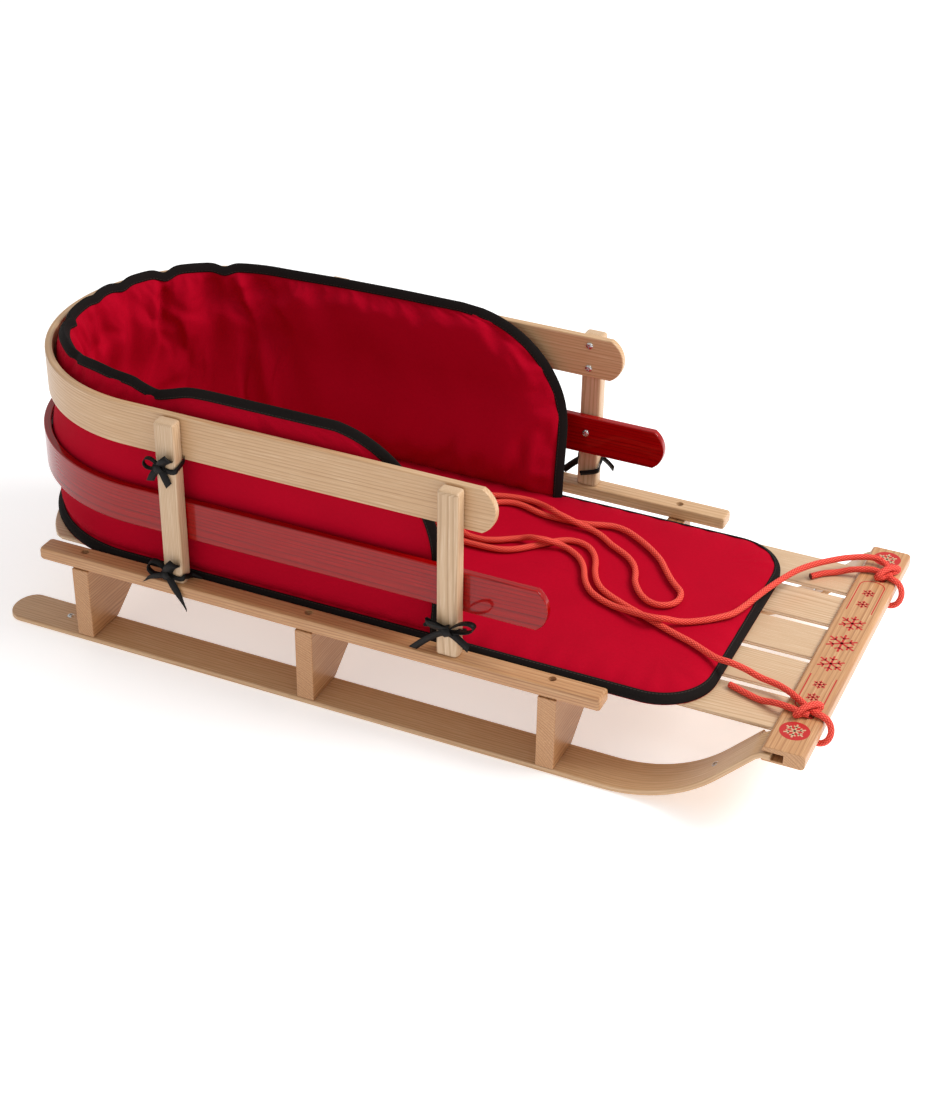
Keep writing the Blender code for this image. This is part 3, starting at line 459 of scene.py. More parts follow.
def runner(side, pith):
    """The strip's middle line is flat, then bends up, and levels out inside the front bar."""
    node = f"runner_{side}"
    low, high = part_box(node)
    thickness = 5.5 * MM
    half = thickness / 2
    turn = np.linspace(0, RUNNER_SLOPE, 24)
    radius = RUNNER_BEND_RADIUS - half
    rise = np.column_stack([RUNNER_BEND_X + radius * np.sin(turn), half + radius * (1 - np.cos(turn))])
    back = turn[::-1]
    level_z = RUNNER_TIP_Z - RUNNER_TIP_RADIUS * (1 - math.cos(RUNNER_SLOPE))
    tip_start = rise[-1, 0] + (level_z - rise[-1, 1]) / math.tan(RUNNER_SLOPE)
    level_x = tip_start + RUNNER_TIP_RADIUS * math.sin(RUNNER_SLOPE)
    tip = np.column_stack([level_x - RUNNER_TIP_RADIUS * np.sin(back),
                           RUNNER_TIP_Z - RUNNER_TIP_RADIUS * (1 - np.cos(back))])
    line = np.vstack([[low.x, half], rise, tip, [RUNNER_TIP_X, RUNNER_TIP_Z]])
    place, total = bend_along(line)
    width, rear_depth = high.y - low.y, 17 * MM
    rear = [(rear_depth + rear_depth * math.cos(a), width / 2 * math.sin(a))
            for a in np.radians(np.linspace(90, 270, 17))]
    notch = total - (RUNNER_TIP_X - 0.3780)
    beside_slat = -width / 2 + 7 * MM
    outline = rear + [(notch, -width / 2), (notch, beside_slat), (total, beside_slat), (total, width / 2)]
    mesh = plank(outline, thickness, 1.1 * MM, 7 * MM)
    flat = positions(mesh)
    spot, up = place(flat[:, 0])
    drawn = spot + up * flat[:, 2:3]
    set_vectors(mesh, "grain", flat + (0.1 + pith[0], *pith))
    outwards = SIDES[side]
    y = (low.y + high.y) / 2 + outwards * flat[:, 1]
    move_points(mesh, np.column_stack([drawn[:, 0], y, drawn[:, 1]]))
    if outwards < 0:
        mesh.flip_normals()
    wooden(node, mesh, ASH)


def make_wood():
    runner("near", (0.055, 0.050))
    runner("far", (-0.070, 0.045))
    bent_rail("upper_bent_rail", (0.1282, 0.1244), ASH, (0.060, 0.058))
    bent_rail("lower_bent_rail", (0.1800, 0.1726), RED_ASH, (0.048, 0.070))
    piths = ((0.030, 0.055), (-0.050, 0.062), (0.072, 0.048), (-0.024, 0.070), (0.058, 0.050))
    for number, pith in enumerate(piths, start=1):
        carved(f"deck_slat_{number}", PALE_ASH, "X", pith, rounding=1.3 * MM, undercut=3.4 * MM)
    for side, sign in SIDES.items():
        rail_ash = TAN_ASH if side == "near" else ASH
        carved(f"deck_rail_{side}", rail_ash, "X", (sign * 0.034, 0.050), rounding=0.6 * MM)
        carved(f"post_rear_{side}", PALE_ASH, "Z", (0.046, sign * 0.030), rounding=1.6 * MM)
        carved(f"post_front_{side}", PALE_ASH, "Z", (0.010, sign * 0.052), rounding=1.6 * MM)
    for label, pith in (("rear", (0.052, 0.062)), ("middle", (0.036, 0.090)), ("front", (0.060, 0.078))):
        carved(f"brace_{label}", TAN_ASH, "Y", pith, rounding=1.0 * MM)
    carved("front_bar", TAN_ASH, "Y", (0.040, 0.066), rounding=1.4 * MM)


# ---- screws ----
def screw_mesh():
    """A domed head with a cross recess, facing +Z, its top at the origin."""
    head, top = 3.7 * MM, 2.0 * MM
    profile = [(head, -top - 0.4 * MM), (head, -top + 0.5 * MM)]
    profile += [(head * math.cos(a), -top + 0.5 * MM + (top - 0.5 * MM) * math.sin(a))
                for a in np.radians((20, 40, 60, 78))]
    sides = 28
    rings = np.array([[(r * math.cos(t), r * math.sin(t), z) for t in np.arange(sides) * 2 * math.pi / sides]
                      for r, z in profile])
    head_piece = bpy.data.objects.new("screw_head", grid_mesh("screw_head", rings, wrap=True, caps=True))
    bm = bmesh.new()
    for turn in (0.4, 0.4 + math.pi / 2):
        size = Matrix.Diagonal((4.4 * MM, 0.95 * MM, 2.4 * MM, 1.0))
        bmesh.ops.create_cube(bm, size=1.0, matrix=Matrix.Rotation(turn, 4, "Z") @ size)
    recess = bpy.data.objects.new("recess", from_bmesh("recess", bm))
    for item in (head_piece, recess):
        scene.collection.objects.link(item)
    cut = head_piece.modifiers.new("recess", "BOOLEAN")
    cut.object = recess
    cut.use_self = True
    bpy.context.view_layer.update()
    mesh = bpy.data.meshes.new_from_object(head_piece.evaluated_get(bpy.context.evaluated_depsgraph_get()))
    for item in (head_piece, recess):
        bpy.data.objects.remove(item)
    mesh.materials.append(STEEL)
    mesh.shade_smooth()
    mesh.set_sharp_from_angle(angle=math.radians(35))
    return mesh


def make_screws():
    mesh = screw_mesh()
    for index, node in enumerate(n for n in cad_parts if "_screw_" in n):
        if node.startswith("runner_screw") and node.endswith("front"):
            angle = RUNNER_SLOPE * 0.93
            facing = Vector((-math.sin(angle), 0, math.cos(angle)))
        elif "bent_rail" in node:
            facing = Vector((0, 1 if "near" in node else -1, 0))
        else:
            facing = Vector((0, 0, 1))
        points = [v.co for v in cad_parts[node].data.vertices]
        reach = max(p.dot(facing) for p in points)
        top = [p for p in points if p.dot(facing) > reach - 0.1 * MM]
        centre = sum(top, Vector()) / len(top)
        piece = bpy.data.objects.new("head_" + node, mesh)
        scene.collection.objects.link(piece)
        turn = facing.to_track_quat("Z", "Y").to_matrix().to_4x4() @ Matrix.Rotation(0.9 * index, 4, "Z")
        piece.matrix_world = Matrix.Translation(centre) @ turn
        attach(piece, "root")
        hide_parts(node)


# ---- cushion ----
PAD_TOP_Z = 104.3 * MM
PAD_EDGE_Z = (93.0 * MM, 98.5 * MM)   # top of the pad's edge under its binding, near side and far side
PAD_BINDING_WIDTH = 6.0 * MM
PAD_REST_Z = 89.5 * MM
BINDING_WIDTH = 7.3 * MM
TAPE_THICKNESS = 0.7 * MM
PUFF = 8.5 * MM              # how quickly the padding fills out from a sewn edge

WALL_FOOT_Z = 97.5 * MM
PAD_BEND_X = -0.2655
NEAR_FOOT_Y, NEAR_TOP_Y = -0.1495, -0.1449
FAR_FOOT_Y, FAR_TOP_Y = 0.1215, 0.1449
REAR_FOOT_X, REAR_TOP_X = -0.4012, -0.3970
REAR_BULGE = 9.8 * MM        # the back swells out to the lower bent rail
FRONT_ARCS = {"near": (-0.0550, 0.1700, 0.123), "far": (-0.0450, 0.1660, 0.118)}   # x, z and radius
# Height of the rim at lengths along the wall from the middle of the back; near side negative.
RIM = ((-0.420, 0.2915), (-0.330, 0.2910), (-0.300, 0.2880), (-0.278, 0.2790), (-0.250, 0.2780),
       (-0.225, 0.2870), (-0.205, 0.2870), (-0.180, 0.2890), (-0.143, 0.2840), (-0.105, 0.2850),
       (-0.060, 0.2800), (0.0, 0.2765), (0.080, 0.2775), (0.150, 0.2790), (0.240, 0.2800), (0.330, 0.2825),
       (0.440, 0.2840))
# How far the rim leans in over the seat at lengths along the wall. It leans out where the value is negative.
LEAN = ((-0.420, 0.002), (-0.300, 0.003), (-0.240, 0.007), (-0.110, 0.004), (-0.040, 0.0), (0.030, -0.004),
        (0.110, -0.005), (0.180, -0.001), (0.440, 0.0))
LEAN_REACH = 34 * MM         # how far down from the rim the lean is felt
# Where the rim is gathered: length along the wall, and how far it is drawn in and down there, in millimetres.
PINCHES = ((-0.261, 1.5, 1.5), (-0.210, 2.0, 1.5), (-0.1415, 2.5, 2.0), (-0.049, 4.5, 1.5),
           (0.0145, 2.0, 1.5), (0.0513, 2.5, 2.5), (0.102, 3.0, 4.5), (0.1645, 2.5, 3.5))
# Folds down the inner face: length along the wall at the rim, lean, depth and width in mm, and reach down in
# metres. A fold of negative depth is a ridge towards the seat.
FOLDS = ((-0.275, 0.1, -4, 9, 0.08), (-0.256, 0.2, 5, 8, 0.08), (-0.165, 0.1, -5, 10, 0.09),
         (-0.1415, 0.2, 6, 8, 0.09), (-0.118, 0.0, -5, 10, 0.10), (-0.096, -0.1, 4, 8, 0.08),
         (-0.070, 0.1, -5, 10, 0.11), (-0.049, 0.2, 6, 8, 0.10), (-0.028, 0.1, -5, 9, 0.12),
         (-0.008, 0.1, 4, 8, 0.11), (0.0, 0.05, -3, 7, 0.12), (0.0145, 0.05, 5, 7, 0.12),
         (0.034, 0.0, -6, 9, 0.13), (0.0530, -0.05, 6, 7, 0.11), (0.070, -0.1, -3, 8, 0.12),
         (0.088, -0.15, -8, 8, 0.13), (0.104, -0.25, 8, 6, 0.12), (0.124, -0.10, -5, 10, 0.12),
         (0.152, -0.05, 9, 11, 0.16), (0.176, 0.35, -10, 8, 0.14), (0.198, 0.45, 5, 10, 0.12),
         (0.250, 0.3, -3, 16, 0.09), (0.285, 0.2, 3, 14, 0.08))


def eased(value, start, end):
    share = np.clip((value - start) / (end - start), 0, 1)
    return share * share * (3 - 2 * share)


def filled(distance):
    """How full the padding is at a distance from a sewn edge, from 0 to 1."""
    return 1 - np.exp(-np.maximum(distance, 0) / PUFF)


def table(places, rows):
    """Smoothly read values from a table of places and values."""
    values = np.interp(places, [u for u, _ in rows], [v for _, v in rows])
    return np.convolve(np.pad(values, 4, mode="edge"), np.ones(9) / 9, mode="valid")


def wobble(points, scale, seed):
    """Smooth noise from -1 to 1 at each point."""
    offset = Vector((seed * 7.31, seed * 3.17, seed * 5.73))
    values = [noise.noise(Vector(point) * scale + offset) for point in points.reshape(-1, 3)]
    return np.array(values).reshape(points.shape[:-1])


def front_x(side, z):
    x, centre_z, radius = FRONT_ARCS[side]
    rise = np.clip(z - centre_z, 0, radius)
    return x + np.sqrt(radius ** 2 - rise ** 2)


def from_front_edge(side, x, z):
    """Distance from the wall's front edge, which is upright below and an arc above."""
    centre_x, centre_z, radius = FRONT_ARCS[side]
    inside = np.where(z > centre_z, radius - np.hypot(x - centre_x, z - centre_z), centre_x + radius - x)
    return np.where(x > centre_x, inside, 1.0)


class Wall:
    """The middle surface of the cushion's wall, in rows from foot to rim and columns from near to far."""

    def __init__(self, rows=36, side_columns=60, bend_columns=150):
        shares = np.linspace(0, 1, rows + 1)
        heights = np.sin(shares * math.pi / 2) * 0.62 + shares * 0.38
        sides = 1 - (1 - np.linspace(0, 1, side_columns, endpoint=False)) ** 1.15
        turn = np.radians(np.linspace(270, 90, bend_columns + 1))
        self.points = np.array([self.row(height, sides, turn) for height in heights])
        middle = self.points[rows // 2]
        along = lengths_along(middle)
        self.along = along - along[np.argmin(middle[:, 0])]
        self.rim = table(self.along, RIM)
        for u, _, dip in PINCHES:
            self.rim = self.rim - dip * MM * np.exp(-((self.along - u) / (8.5 * MM)) ** 2)
        share = self.points[:, :, 2].copy()
        self.points[:, :, 2] = WALL_FOOT_Z + (self.rim - WALL_FOOT_Z) * share
        step = np.gradient(self.points[:, :, :2], axis=1)
        self.outward = np.zeros_like(self.points)
        self.outward[:, :, :2] = unit(np.stack([-step[:, :, 1], step[:, :, 0]], axis=2))
        self.down = self.rim - self.points[:, :, 2]
        drawn = table(self.along, LEAN) * np.exp(-(self.down / LEAN_REACH) ** 2)
        for u, depth, _ in PINCHES:
            drawn = drawn + depth * MM * np.exp(-((self.along - u) / (8 * MM)) ** 2 - self.down / (16 * MM))
        rearward = np.clip((BEND_CENTRE_X - self.points[:, :, 0]) / (BEND_CENTRE_X - REAR_TOP_X), 0, 1)
        swell = REAR_BULGE * rearward ** 2 * eased(share, 0.10, 0.34) * (1 - eased(share, 0.44, 0.70))
        self.points += self.outward * (swell - drawn)[:, :, None]

    def row(self, height, sides, turn):
        quick, slow = eased(height, 0.03, 0.16), eased(height, 0.03, 0.62)
        near = NEAR_FOOT_Y + (NEAR_TOP_Y - NEAR_FOOT_Y) * quick
        far = FAR_FOOT_Y + (FAR_TOP_Y - FAR_FOOT_Y) * slow
        bend_x = PAD_BEND_X + (BEND_CENTRE_X - PAD_BEND_X) * quick
        rear = REAR_FOOT_X + (REAR_TOP_X - REAR_FOOT_X) * slow
        middle, half = (near + far) / 2, (far - near) / 2
        edges = {}
        for side, top in (("near", RIM[0][1]), ("far", RIM[-1][1])):
            z = WALL_FOOT_Z + (top - WALL_FOOT_Z) * height
            edges[side] = front_x(side, z) + (5 * MM * (1 - slow) if side == "far" else 0.0)
        first = [(edges["near"] + (bend_x - edges["near"]) * s, near, height) for s in sides]
        last = [(edges["far"] + (bend_x - edges["far"]) * s, far, height) for s in sides[::-1]]
        bend = [(bend_x + (bend_x - rear) * math.cos(t), middle + half * math.sin(t), height) for t in turn]
        return first + bend + last

    def from_edges(self):
        """Distance of each point from the sewn edge along the front and the rim."""
        x, z = self.points[:, :, 0], self.points[:, :, 2]
        half = self.points.shape[1] // 2
        front = np.concatenate([from_front_edge("near", x[:, :half], z[:, :half]),
                                from_front_edge("far", x[:, half:], z[:, half:])], axis=1)
        return np.minimum(self.down, np.maximum(front, 0))

    def folded(self):
        """How far the inner face is pressed in by its folds."""
        pressed = np.zeros(self.down.shape)
        for u, lean, depth, width, reach in FOLDS:
            across = (self.along - u - lean * self.down) / (width * MM * (0.8 + 5.0 * self.down))
            fading = eased(self.down, 5 * MM, 22 * MM) * np.exp(-(self.down / reach) ** 2)
            pressed = pressed + depth * MM * np.exp(-across ** 2) * fading
        return np.clip(pressed, -12 * MM, 7 * MM)

    def edge(self):
        """The sewn edge from the near foot over the rim to the far foot, with its outward directions."""
        top = len(self.points) - 1
        edges = []
        for grid in (self.points, self.outward):
            edges.append(np.vstack([grid[:, 0], grid[top, 1:], grid[top - 1::-1, -1]]))
        return edges


FRAMES = 20                  # of the cloth's simulation
SLACK = 0.05                 # spare cloth, as a share of its size
FILL_LIMIT = 6.0 * MM        # the most that the filling may move the cloth square to itself
SLIDE_LIMIT = 3.0 * MM       # and along itself


def inflated(mesh, held, outward_limit):
    """The mesh's points once its cloth has filled. held is 1 where it is sewn down and 0 where it is free."""
    before = positions(mesh)
    piece = bpy.data.objects.new("filling", mesh.copy())
    scene.collection.objects.link(piece)
    group = piece.vertex_groups.new(name="sewn")
    for index, weight in enumerate(held):
        group.add([index], float(weight), "REPLACE")
    cloth_modifier = piece.modifiers.new("cloth", "CLOTH")
    settings = cloth_modifier.settings
    settings.vertex_group_mass = "sewn"
    settings.quality = 6
    settings.mass = 0.3
    settings.bending_stiffness = 0.4
    settings.use_pressure = True
    settings.uniform_pressure_force = 4.0
    settings.shrink_min = -SLACK
    settings.effector_weights.gravity = 0.0
    cloth_modifier.point_cache.frame_end = FRAMES
    for number in range(1, FRAMES + 1):
        scene.frame_set(number)
    shaped = piece.evaluated_get(bpy.context.evaluated_depsgraph_get()).to_mesh()
    moved = positions(shaped) - before
    scene.frame_set(1)
    normals = np.zeros(len(before) * 3, np.float32)
    mesh.vertices.foreach_get("normal", normals)
    normals = normals.reshape(-1, 3)
    rise = (moved * normals).sum(axis=1)
    slide = moved - normals * rise[:, None]
    slide *= np.minimum(1, SLIDE_LIMIT / np.maximum(np.linalg.norm(slide, axis=1), 1e-9))[:, None]
    bpy.data.objects.remove(piece)
    return before + slide + normals * np.clip(rise, -FILL_LIMIT, outward_limit)[:, None]


def closed(mesh):
    """Closes a cloth's open borders and turns its faces outwards."""
    bm = bmesh.new()
    bm.from_mesh(mesh)
    bmesh.ops.holes_fill(bm, edges=[e for e in bm.edges if e.is_boundary])
    bmesh.ops.recalc_face_normals(bm, faces=bm.faces)
    bm.to_mesh(mesh)
    bm.free()
    mesh.update()


def binding(name, rings, places, depths, wrap):
    """A folded tape over an edge, on rings of points that lie the given depths in from its free edges."""
    points = np.stack(rings, axis=1)
    if wrap:
        points = np.concatenate([points, points[:1]], axis=0)
        places = np.append(places, places[-1] + places[1])
    mesh = grid_mesh(name, points)
    across = lengths_along(points[len(points) // 2])
    count = len(places)
    inwards = np.array(depths) * MM
    weave = (np.repeat(places, len(rings)), np.tile(across, count), np.tile(inwards, count))
    set_vectors(mesh, "weave", np.stack(weave, axis=1))
    new_piece(name, mesh, TAPE)


INNER_PUFF, OUTER_PUFF = 7.6 * MM, 7.0 * MM
SKIN = 0.8 * MM              # from the wall's middle to its face at a sewn edge
OUTWARD_LIMIT = 0.8 * MM     # the outer face keeps clear of the bent rails


def both_faces(inner, outer):
    """Values for the wall's inner face and then its outer face, in the order of its mesh's points."""
    return np.swapaxes(np.concatenate([inner, outer[::-1]], axis=0), 0, 1)


def make_wall():
    wall = Wall()
    edge = wall.from_edges()
    height = wall.points[:, :, 2]
    full = filled(edge) * filled(height - WALL_FOOT_Z)
    loose = wobble(wall.points, 14.0, 1) * 1.6 * MM + wobble(wall.points, 38.0, 2) * 0.6 * MM
    outer = wall.points + wall.outward * (SKIN + OUTER_PUFF * full)[..., None]
    inner = wall.points - wall.outward * (SKIN + INNER_PUFF * full + loose * full)[..., None]
    mesh = grid_mesh("cushion_wall_cloth", both_faces(inner, outer), wrap=True)
    weave = np.stack([np.broadcast_to(wall.along, height.shape), height, np.zeros_like(height)], axis=2)
    set_vectors(mesh, "weave", both_faces(weave, weave))
    closed(mesh)
    free = np.minimum(edge - BINDING_WIDTH, height - WALL_FOOT_Z - 5 * MM)
    held = 1 - np.clip(free / (5 * MM), 0, 1)
    limits = both_faces(np.full(free.shape, FILL_LIMIT), np.full(free.shape, OUTWARD_LIMIT))
    shaped = inflated(mesh, both_faces(held, held).ravel(), limits.ravel())
    pressed = wall.outward * wall.folded()[..., None]
    move_points(mesh, shaped + both_faces(pressed, 0 * pressed).reshape(-1, 3))
    piece = new_piece("cushion_wall_cloth", mesh, CLOTH, ["cushion_wall"])
    smoother = piece.modifiers.new("smoother", "SUBSURF")
    smoother.levels = smoother.render_levels = 1
    bind_wall(wall)


def smoothed(vectors):
    """Unit vectors along a line, each evened out with its neighbours."""
    kernel = np.hanning(15)[1:-1]
    columns = [np.convolve(np.pad(column, 6, mode="edge"), kernel / kernel.sum(), mode="valid")
               for column in vectors.T]
    return unit(np.stack(columns, axis=1))


def bind_wall(wall):
    """The tape round the wall's front edges and rim, from its outer face over the edge to its inner face."""
    places, line, outward = evenly(*wall.edge(), 2.5 * MM)
    outward, tangent = smoothed(outward), smoothed(np.gradient(line, axis=0))
    inward = unit(np.cross(outward, tangent))
    width = BINDING_WIDTH / MM
    steps = ((0.0, 0.0), (0.3, 1.0), (0.35 * width, 1.2), (0.65 * width, 1.2), (0.88 * width, 1.2),
             (width + 0.4, 0.8))
    rings, depths = [], []
    for side, puff in ((1, OUTER_PUFF), (-1, INNER_PUFF)):
        for depth, lift in steps[::side]:
            distance = width - depth
            thick = puff * float(filled(max(distance, 0) * MM)) + SKIN + lift * TAPE_THICKNESS
            rings.append(line + inward * distance * MM + outward * side * thick)
            depths.append(depth)
        if side > 0:
            rings.append(line - inward * 1.3 * MM)
            depths.append(width)
    binding("cushion_wall_binding", rings, places, depths, wrap=False)


def evenly(line, extra, step):
    """The line again at even steps, with values that go with it."""
    along = lengths_along(line)
    places = np.linspace(0, along[-1], round(along[-1] / step) + 1)
    return places, read_at(places, along, line), read_at(places, along, extra)


PAD_CORNER = 55 * MM
# Rings of the pad's top: distances in from its edge, then shares of the way on to its middle line.
PAD_DISTANCES = np.array((0, 1.5, 3, 5, 7.5, 10, 13, 17, 22, 28, 35, 43, 50)) * MM
PAD_SHARES = (0.12, 0.25, 0.38, 0.52, 0.66, 0.8, 0.93)
PUCKER_LENGTH, PUCKER_REACH, PUCKER_HEIGHT = 27 * MM, 15 * MM, 1.0 * MM


def pad_outline(step):
    """The pad's edge, anticlockwise, with its inward directions and the middle line that it closes in to."""
    low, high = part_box("cushion_base")
    middle, half = (low.y + high.y) / 2, (high.y - low.y) / 2
    front = high.x - PAD_CORNER
    outline = np.array(arc((PAD_BEND_X, middle), half, 90, 270, 120)
                       + arc((front, low.y + PAD_CORNER), PAD_CORNER, 270, 360, 40)
                       + arc((front, high.y - PAD_CORNER), PAD_CORNER, 0, 90, 40))
    outline = np.vstack([outline, outline[:1]])
    along = lengths_along(outline)
    places = np.linspace(0, along[-1], round(along[-1] / step), endpoint=False)
    line = read_at(places, along, outline)
    ahead = np.roll(line, -1, axis=0) - np.roll(line, 1, axis=0)
    inward = unit(np.stack([-ahead[:, 1], ahead[:, 0]], axis=1))
    spine = np.stack([np.clip(line[:, 0], PAD_BEND_X, high.x - half), np.full(len(line), middle)], axis=1)
    return places, line, inward, spine


def make_pad():
    places, line, inward, spine = pad_outline(3.0 * MM)
    rings = [line + inward * distance for distance in PAD_DISTANCES]
    last = rings[-1]
    rings += [last + (spine - last) * share for share in PAD_SHARES]
    plan = np.array(rings)
    depth = np.linalg.norm(plan - plan[0], axis=2)
    full = filled(depth)
    flat = np.concatenate([plan, np.zeros(plan.shape[:2] + (1,))], axis=2)
    wave = np.sin(2 * math.pi * places / PUCKER_LENGTH + 4.0 * wobble(flat[0], 14.0, 3))
    pucker = np.minimum(wave * np.exp(-depth / PUCKER_REACH), 0.35) * np.minimum(depth / (8 * MM), 1)
    sag = np.minimum((wobble(flat, 11.0, 4) - 0.4) * 0.9 * MM * full, 0)
    edge = PAD_EDGE_Z[0] + (PAD_EDGE_Z[1] - PAD_EDGE_Z[0]) * eased(line[:, 1], -0.06, 0.12)
    top = edge + (PAD_TOP_Z - edge) * full + sag + PUCKER_HEIGHT * pucker
    upper = np.concatenate([plan, top[:, :, None]], axis=2)
    under = np.concatenate([plan[:3], np.full((3, len(line), 1), PAD_REST_Z)], axis=2)[::-1]
    mesh = grid_mesh("cushion_pad_cloth", np.concatenate([under, upper]), wrap=True, caps=True)
    set_vectors(mesh, "weave", positions(mesh) * (1, 1, 0))
    closed(mesh)
    piece = new_piece("cushion_pad_cloth", mesh, CLOTH, ["cushion_base"])

    width = PAD_BINDING_WIDTH / MM
    rings, depths = [], []
    over = ((width, 0.0), (width - 0.3, 1.0), (0.65 * width, 1.2), (0.35 * width, 1.2), (1.2, 1.2),
            (0.3, 0.9))
    for distance, lift in over:
        z = edge + (PAD_TOP_Z - edge) * filled(distance * MM) + lift * TAPE_THICKNESS
        rings.append(np.column_stack([line + inward * distance * MM, z]))
        depths.append(width - distance)
    under = ((-0.3, edge - 0.6 * MM), (-0.4, PAD_REST_Z + 1.4 * MM), (0.0, PAD_REST_Z + 0.4 * MM),
             (1.0, PAD_REST_Z), (width, PAD_REST_Z))
    for distance, z in under:
        rings.append(np.column_stack([line + inward * distance * MM, np.broadcast_to(z, len(line))]))
        depths.append(width)
    binding("cushion_pad_binding", rings, places, depths, wrap=True)


# ---- ribbon ties ----
RIBBON_WIDTH = 7.0 * MM
RIBBON_HALF_THICKNESS = 0.28 * MM


def ribbon(name, route, width_hint, width=RIBBON_WIDTH, cut=0.0, narrowing=0.0):
    """A flat ribbon along a route, its width along the hint. Its end may be cut at a slant, and narrow."""
    line = smooth_line(route, 1.2 * MM)
    tangent = unit(np.gradient(line, axis=0))
    hint = np.array(width_hint, float)
    across = unit(hint - tangent * (tangent @ hint)[:, None])
    face = np.cross(tangent, across)
    along = lengths_along(line)
    slant = np.zeros(len(line))
    slant[-3:] = cut * np.array((0.3, 0.7, 1.0))
    half = width / 2
    taper = (1 - narrowing * eased(along / along[-1], 0.35, 1.0))[:, None]
    corners = []
    for side, up in ((-1, -1), (0, -1.25), (1, -1), (1, 1), (0, 1.25), (-1, 1)):
        lift = face * up * RIBBON_HALF_THICKNESS
        corners.append(line + across * side * half * taper + lift + tangent * (slant * side)[:, None])
    points = np.stack(corners, axis=1)
    mesh = grid_mesh(name, points, wrap=True, caps=True)
    weave = np.stack([np.repeat(along, 6), np.tile((-half, 0, half, half, 0, -half), len(line)),
                      np.zeros(6 * len(line))], axis=1)
    set_vectors(mesh, "weave", weave)
    return mesh


def joined(name, meshes):
    bm = bmesh.new()
    bm.verts.layers.float_vector.new("weave")
    for mesh in meshes:
        bm.from_mesh(mesh)
    bmesh.ops.recalc_face_normals(bm, faces=bm.faces)
    return from_bmesh(name, bm)


# Each tie, in millimetres: the knot's place on the post (across, height), each loop's tip from the knot with
# how far open it is (0 to 1) and its width, each tail's tip with how far it narrows (0 to 1), and where the
# ribbon leaves the cushion (across, up).
TIES = {
    "rear_upper": {"knot": (-5, 222), "loops": ((-15, 5, 0.8, 4.5), (12, 13, 0.15, 8.5)),
                   "tails": ((-11, -16, 0.0), (9, -17, 0.0)), "source": (16, 7)},
    "rear_lower": {"knot": (-5, 105), "loops": ((-19, 8, 1.0, 5.5), (10, 16, 0.15, 10.0)),
                   "tails": ((-25, -12, 0.85), (21, -33, 0.8)), "source": (26, -9)},
    "front": {"knot": (2.5, 126), "loops": ((-20, 7, 0.15, 9.5), (27, 14, 0.7, 6.5)),
              "tails": ((-35, -28, 0.0), (21, -13, 0.0)), "source": (-8, -14)},
}


def bow(side, place):
    """A bow on a post's outer face, tied round the post to the cushion's edge."""
    low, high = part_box(f"post_{place.split('_')[0]}_{side}")
    sign = SIDES[side]
    face_y = low.y if sign < 0 else high.y
    middle_x, half = (low.x + high.x) / 2, (high.x - low.x) / 2 / MM
    tie = TIES[place]
    shift, height = tie["knot"]

    def spot(across, up, out):
        return (middle_x + (shift + across) * MM, face_y + sign * out * MM, (height + up) * MM)

    meshes = []
    for across, up, opened, width in tie["loops"]:
        tip = np.array((across, up), float)
        square = np.array((-up, across)) / np.linalg.norm(tip) * (1 if across > 0 else -1)
        route = []
        for turn in np.linspace(0, 2 * math.pi, 11):
            share = math.sin(turn / 2) ** 2
            swing = 1.25 * math.sin(turn) * math.sqrt(share)
            flat = tip * share + square * (opened * 8.0 * swing)
            out = 1.6 + 5.0 * share * (1 - 0.4 * opened) + (1 - opened) * 4.4 * swing
            route.append(spot(flat[0], flat[1] + 0.6, out))
        hint = (square[0] * (1 - opened), sign * (opened + 0.25), square[1] * (1 - opened) - 0.6 * opened)
        meshes.append(ribbon("loop", route, hint, width=width * MM))
    for across, up, narrowing in tie["tails"]:
        direction = Vector((across, 0, up)).normalized()
        sag, out = (2.6, 6.5) if narrowing else (0.8, 3.0)
        route = [spot(0, 0, 2.4), spot(across * 0.33, up * 0.25 + sag * 0.7, out * 0.9),
                 spot(across * 0.68, up * 0.62 + sag, out), spot(across, up, out - 0.8)]
        flat = (direction.z, sign * 0.35, -direction.x)
        meshes.append(ribbon("tail", route, flat, cut=1.6 * MM, narrowing=narrowing))
    right, left = half - shift, half + shift
    source_across, source_up = tie["source"]
    behind = -16.5 if source_across > 0 else -19.0
    around_right = [spot(0, 0, 1.2), spot(right * 0.55, -2.4, 1.0), spot(right - 1.2, -1.6, 0.8),
                    spot(right + 1.0, 0.6, -1.2), spot(right + 1.2, source_up * 0.3, -8.0),
                    spot(right + 1.0, source_up * 0.6, behind + 2.5), spot(source_across, source_up, behind)]
    around_left = [spot(0, 0, 1.2), spot(-left * 0.6, 0.5, 1.0), spot(-left + 1.0, 0.8, 0.8),
                   spot(-left - 1.0, 1.0, -1.2), spot(-left - 1.1, 1.5, -9.0), spot(-left + 1.5, 2.0, -16.2)]
    meshes += [ribbon("band", route, (0, 0, 1), width=5.2 * MM) for route in (around_right, around_left)]
    knot = [spot(-3.0, 4.4, 0.5), spot(-2.2, 4.4, 4.2), spot(0.0, 0.8, 6.4), spot(1.6, -3.6, 4.2),
            spot(2.0, -4.4, 0.5)]
    meshes.append(ribbon("knot", knot, (1, 0, 0.5), width=8.6 * MM))
    name = f"bow_{place}_{side}"
    new_piece(name, joined(name, meshes), RIBBON, [f"ribbon_tie_{place}_{side}"])


# ---- cord ----
CORD_RADIUS = 3.0 * MM
KNOT_X, KNOT_Y = 0.4095, 0.1215
KNOT_FLATNESS = 0.88         # a drawn-down knot is this much lower than a loose one
CORD_SIDES = 16
REST = 107.9 * MM            # middle of the cord on the pad
SLAT_REST = 92.3 * MM        # and on the slats
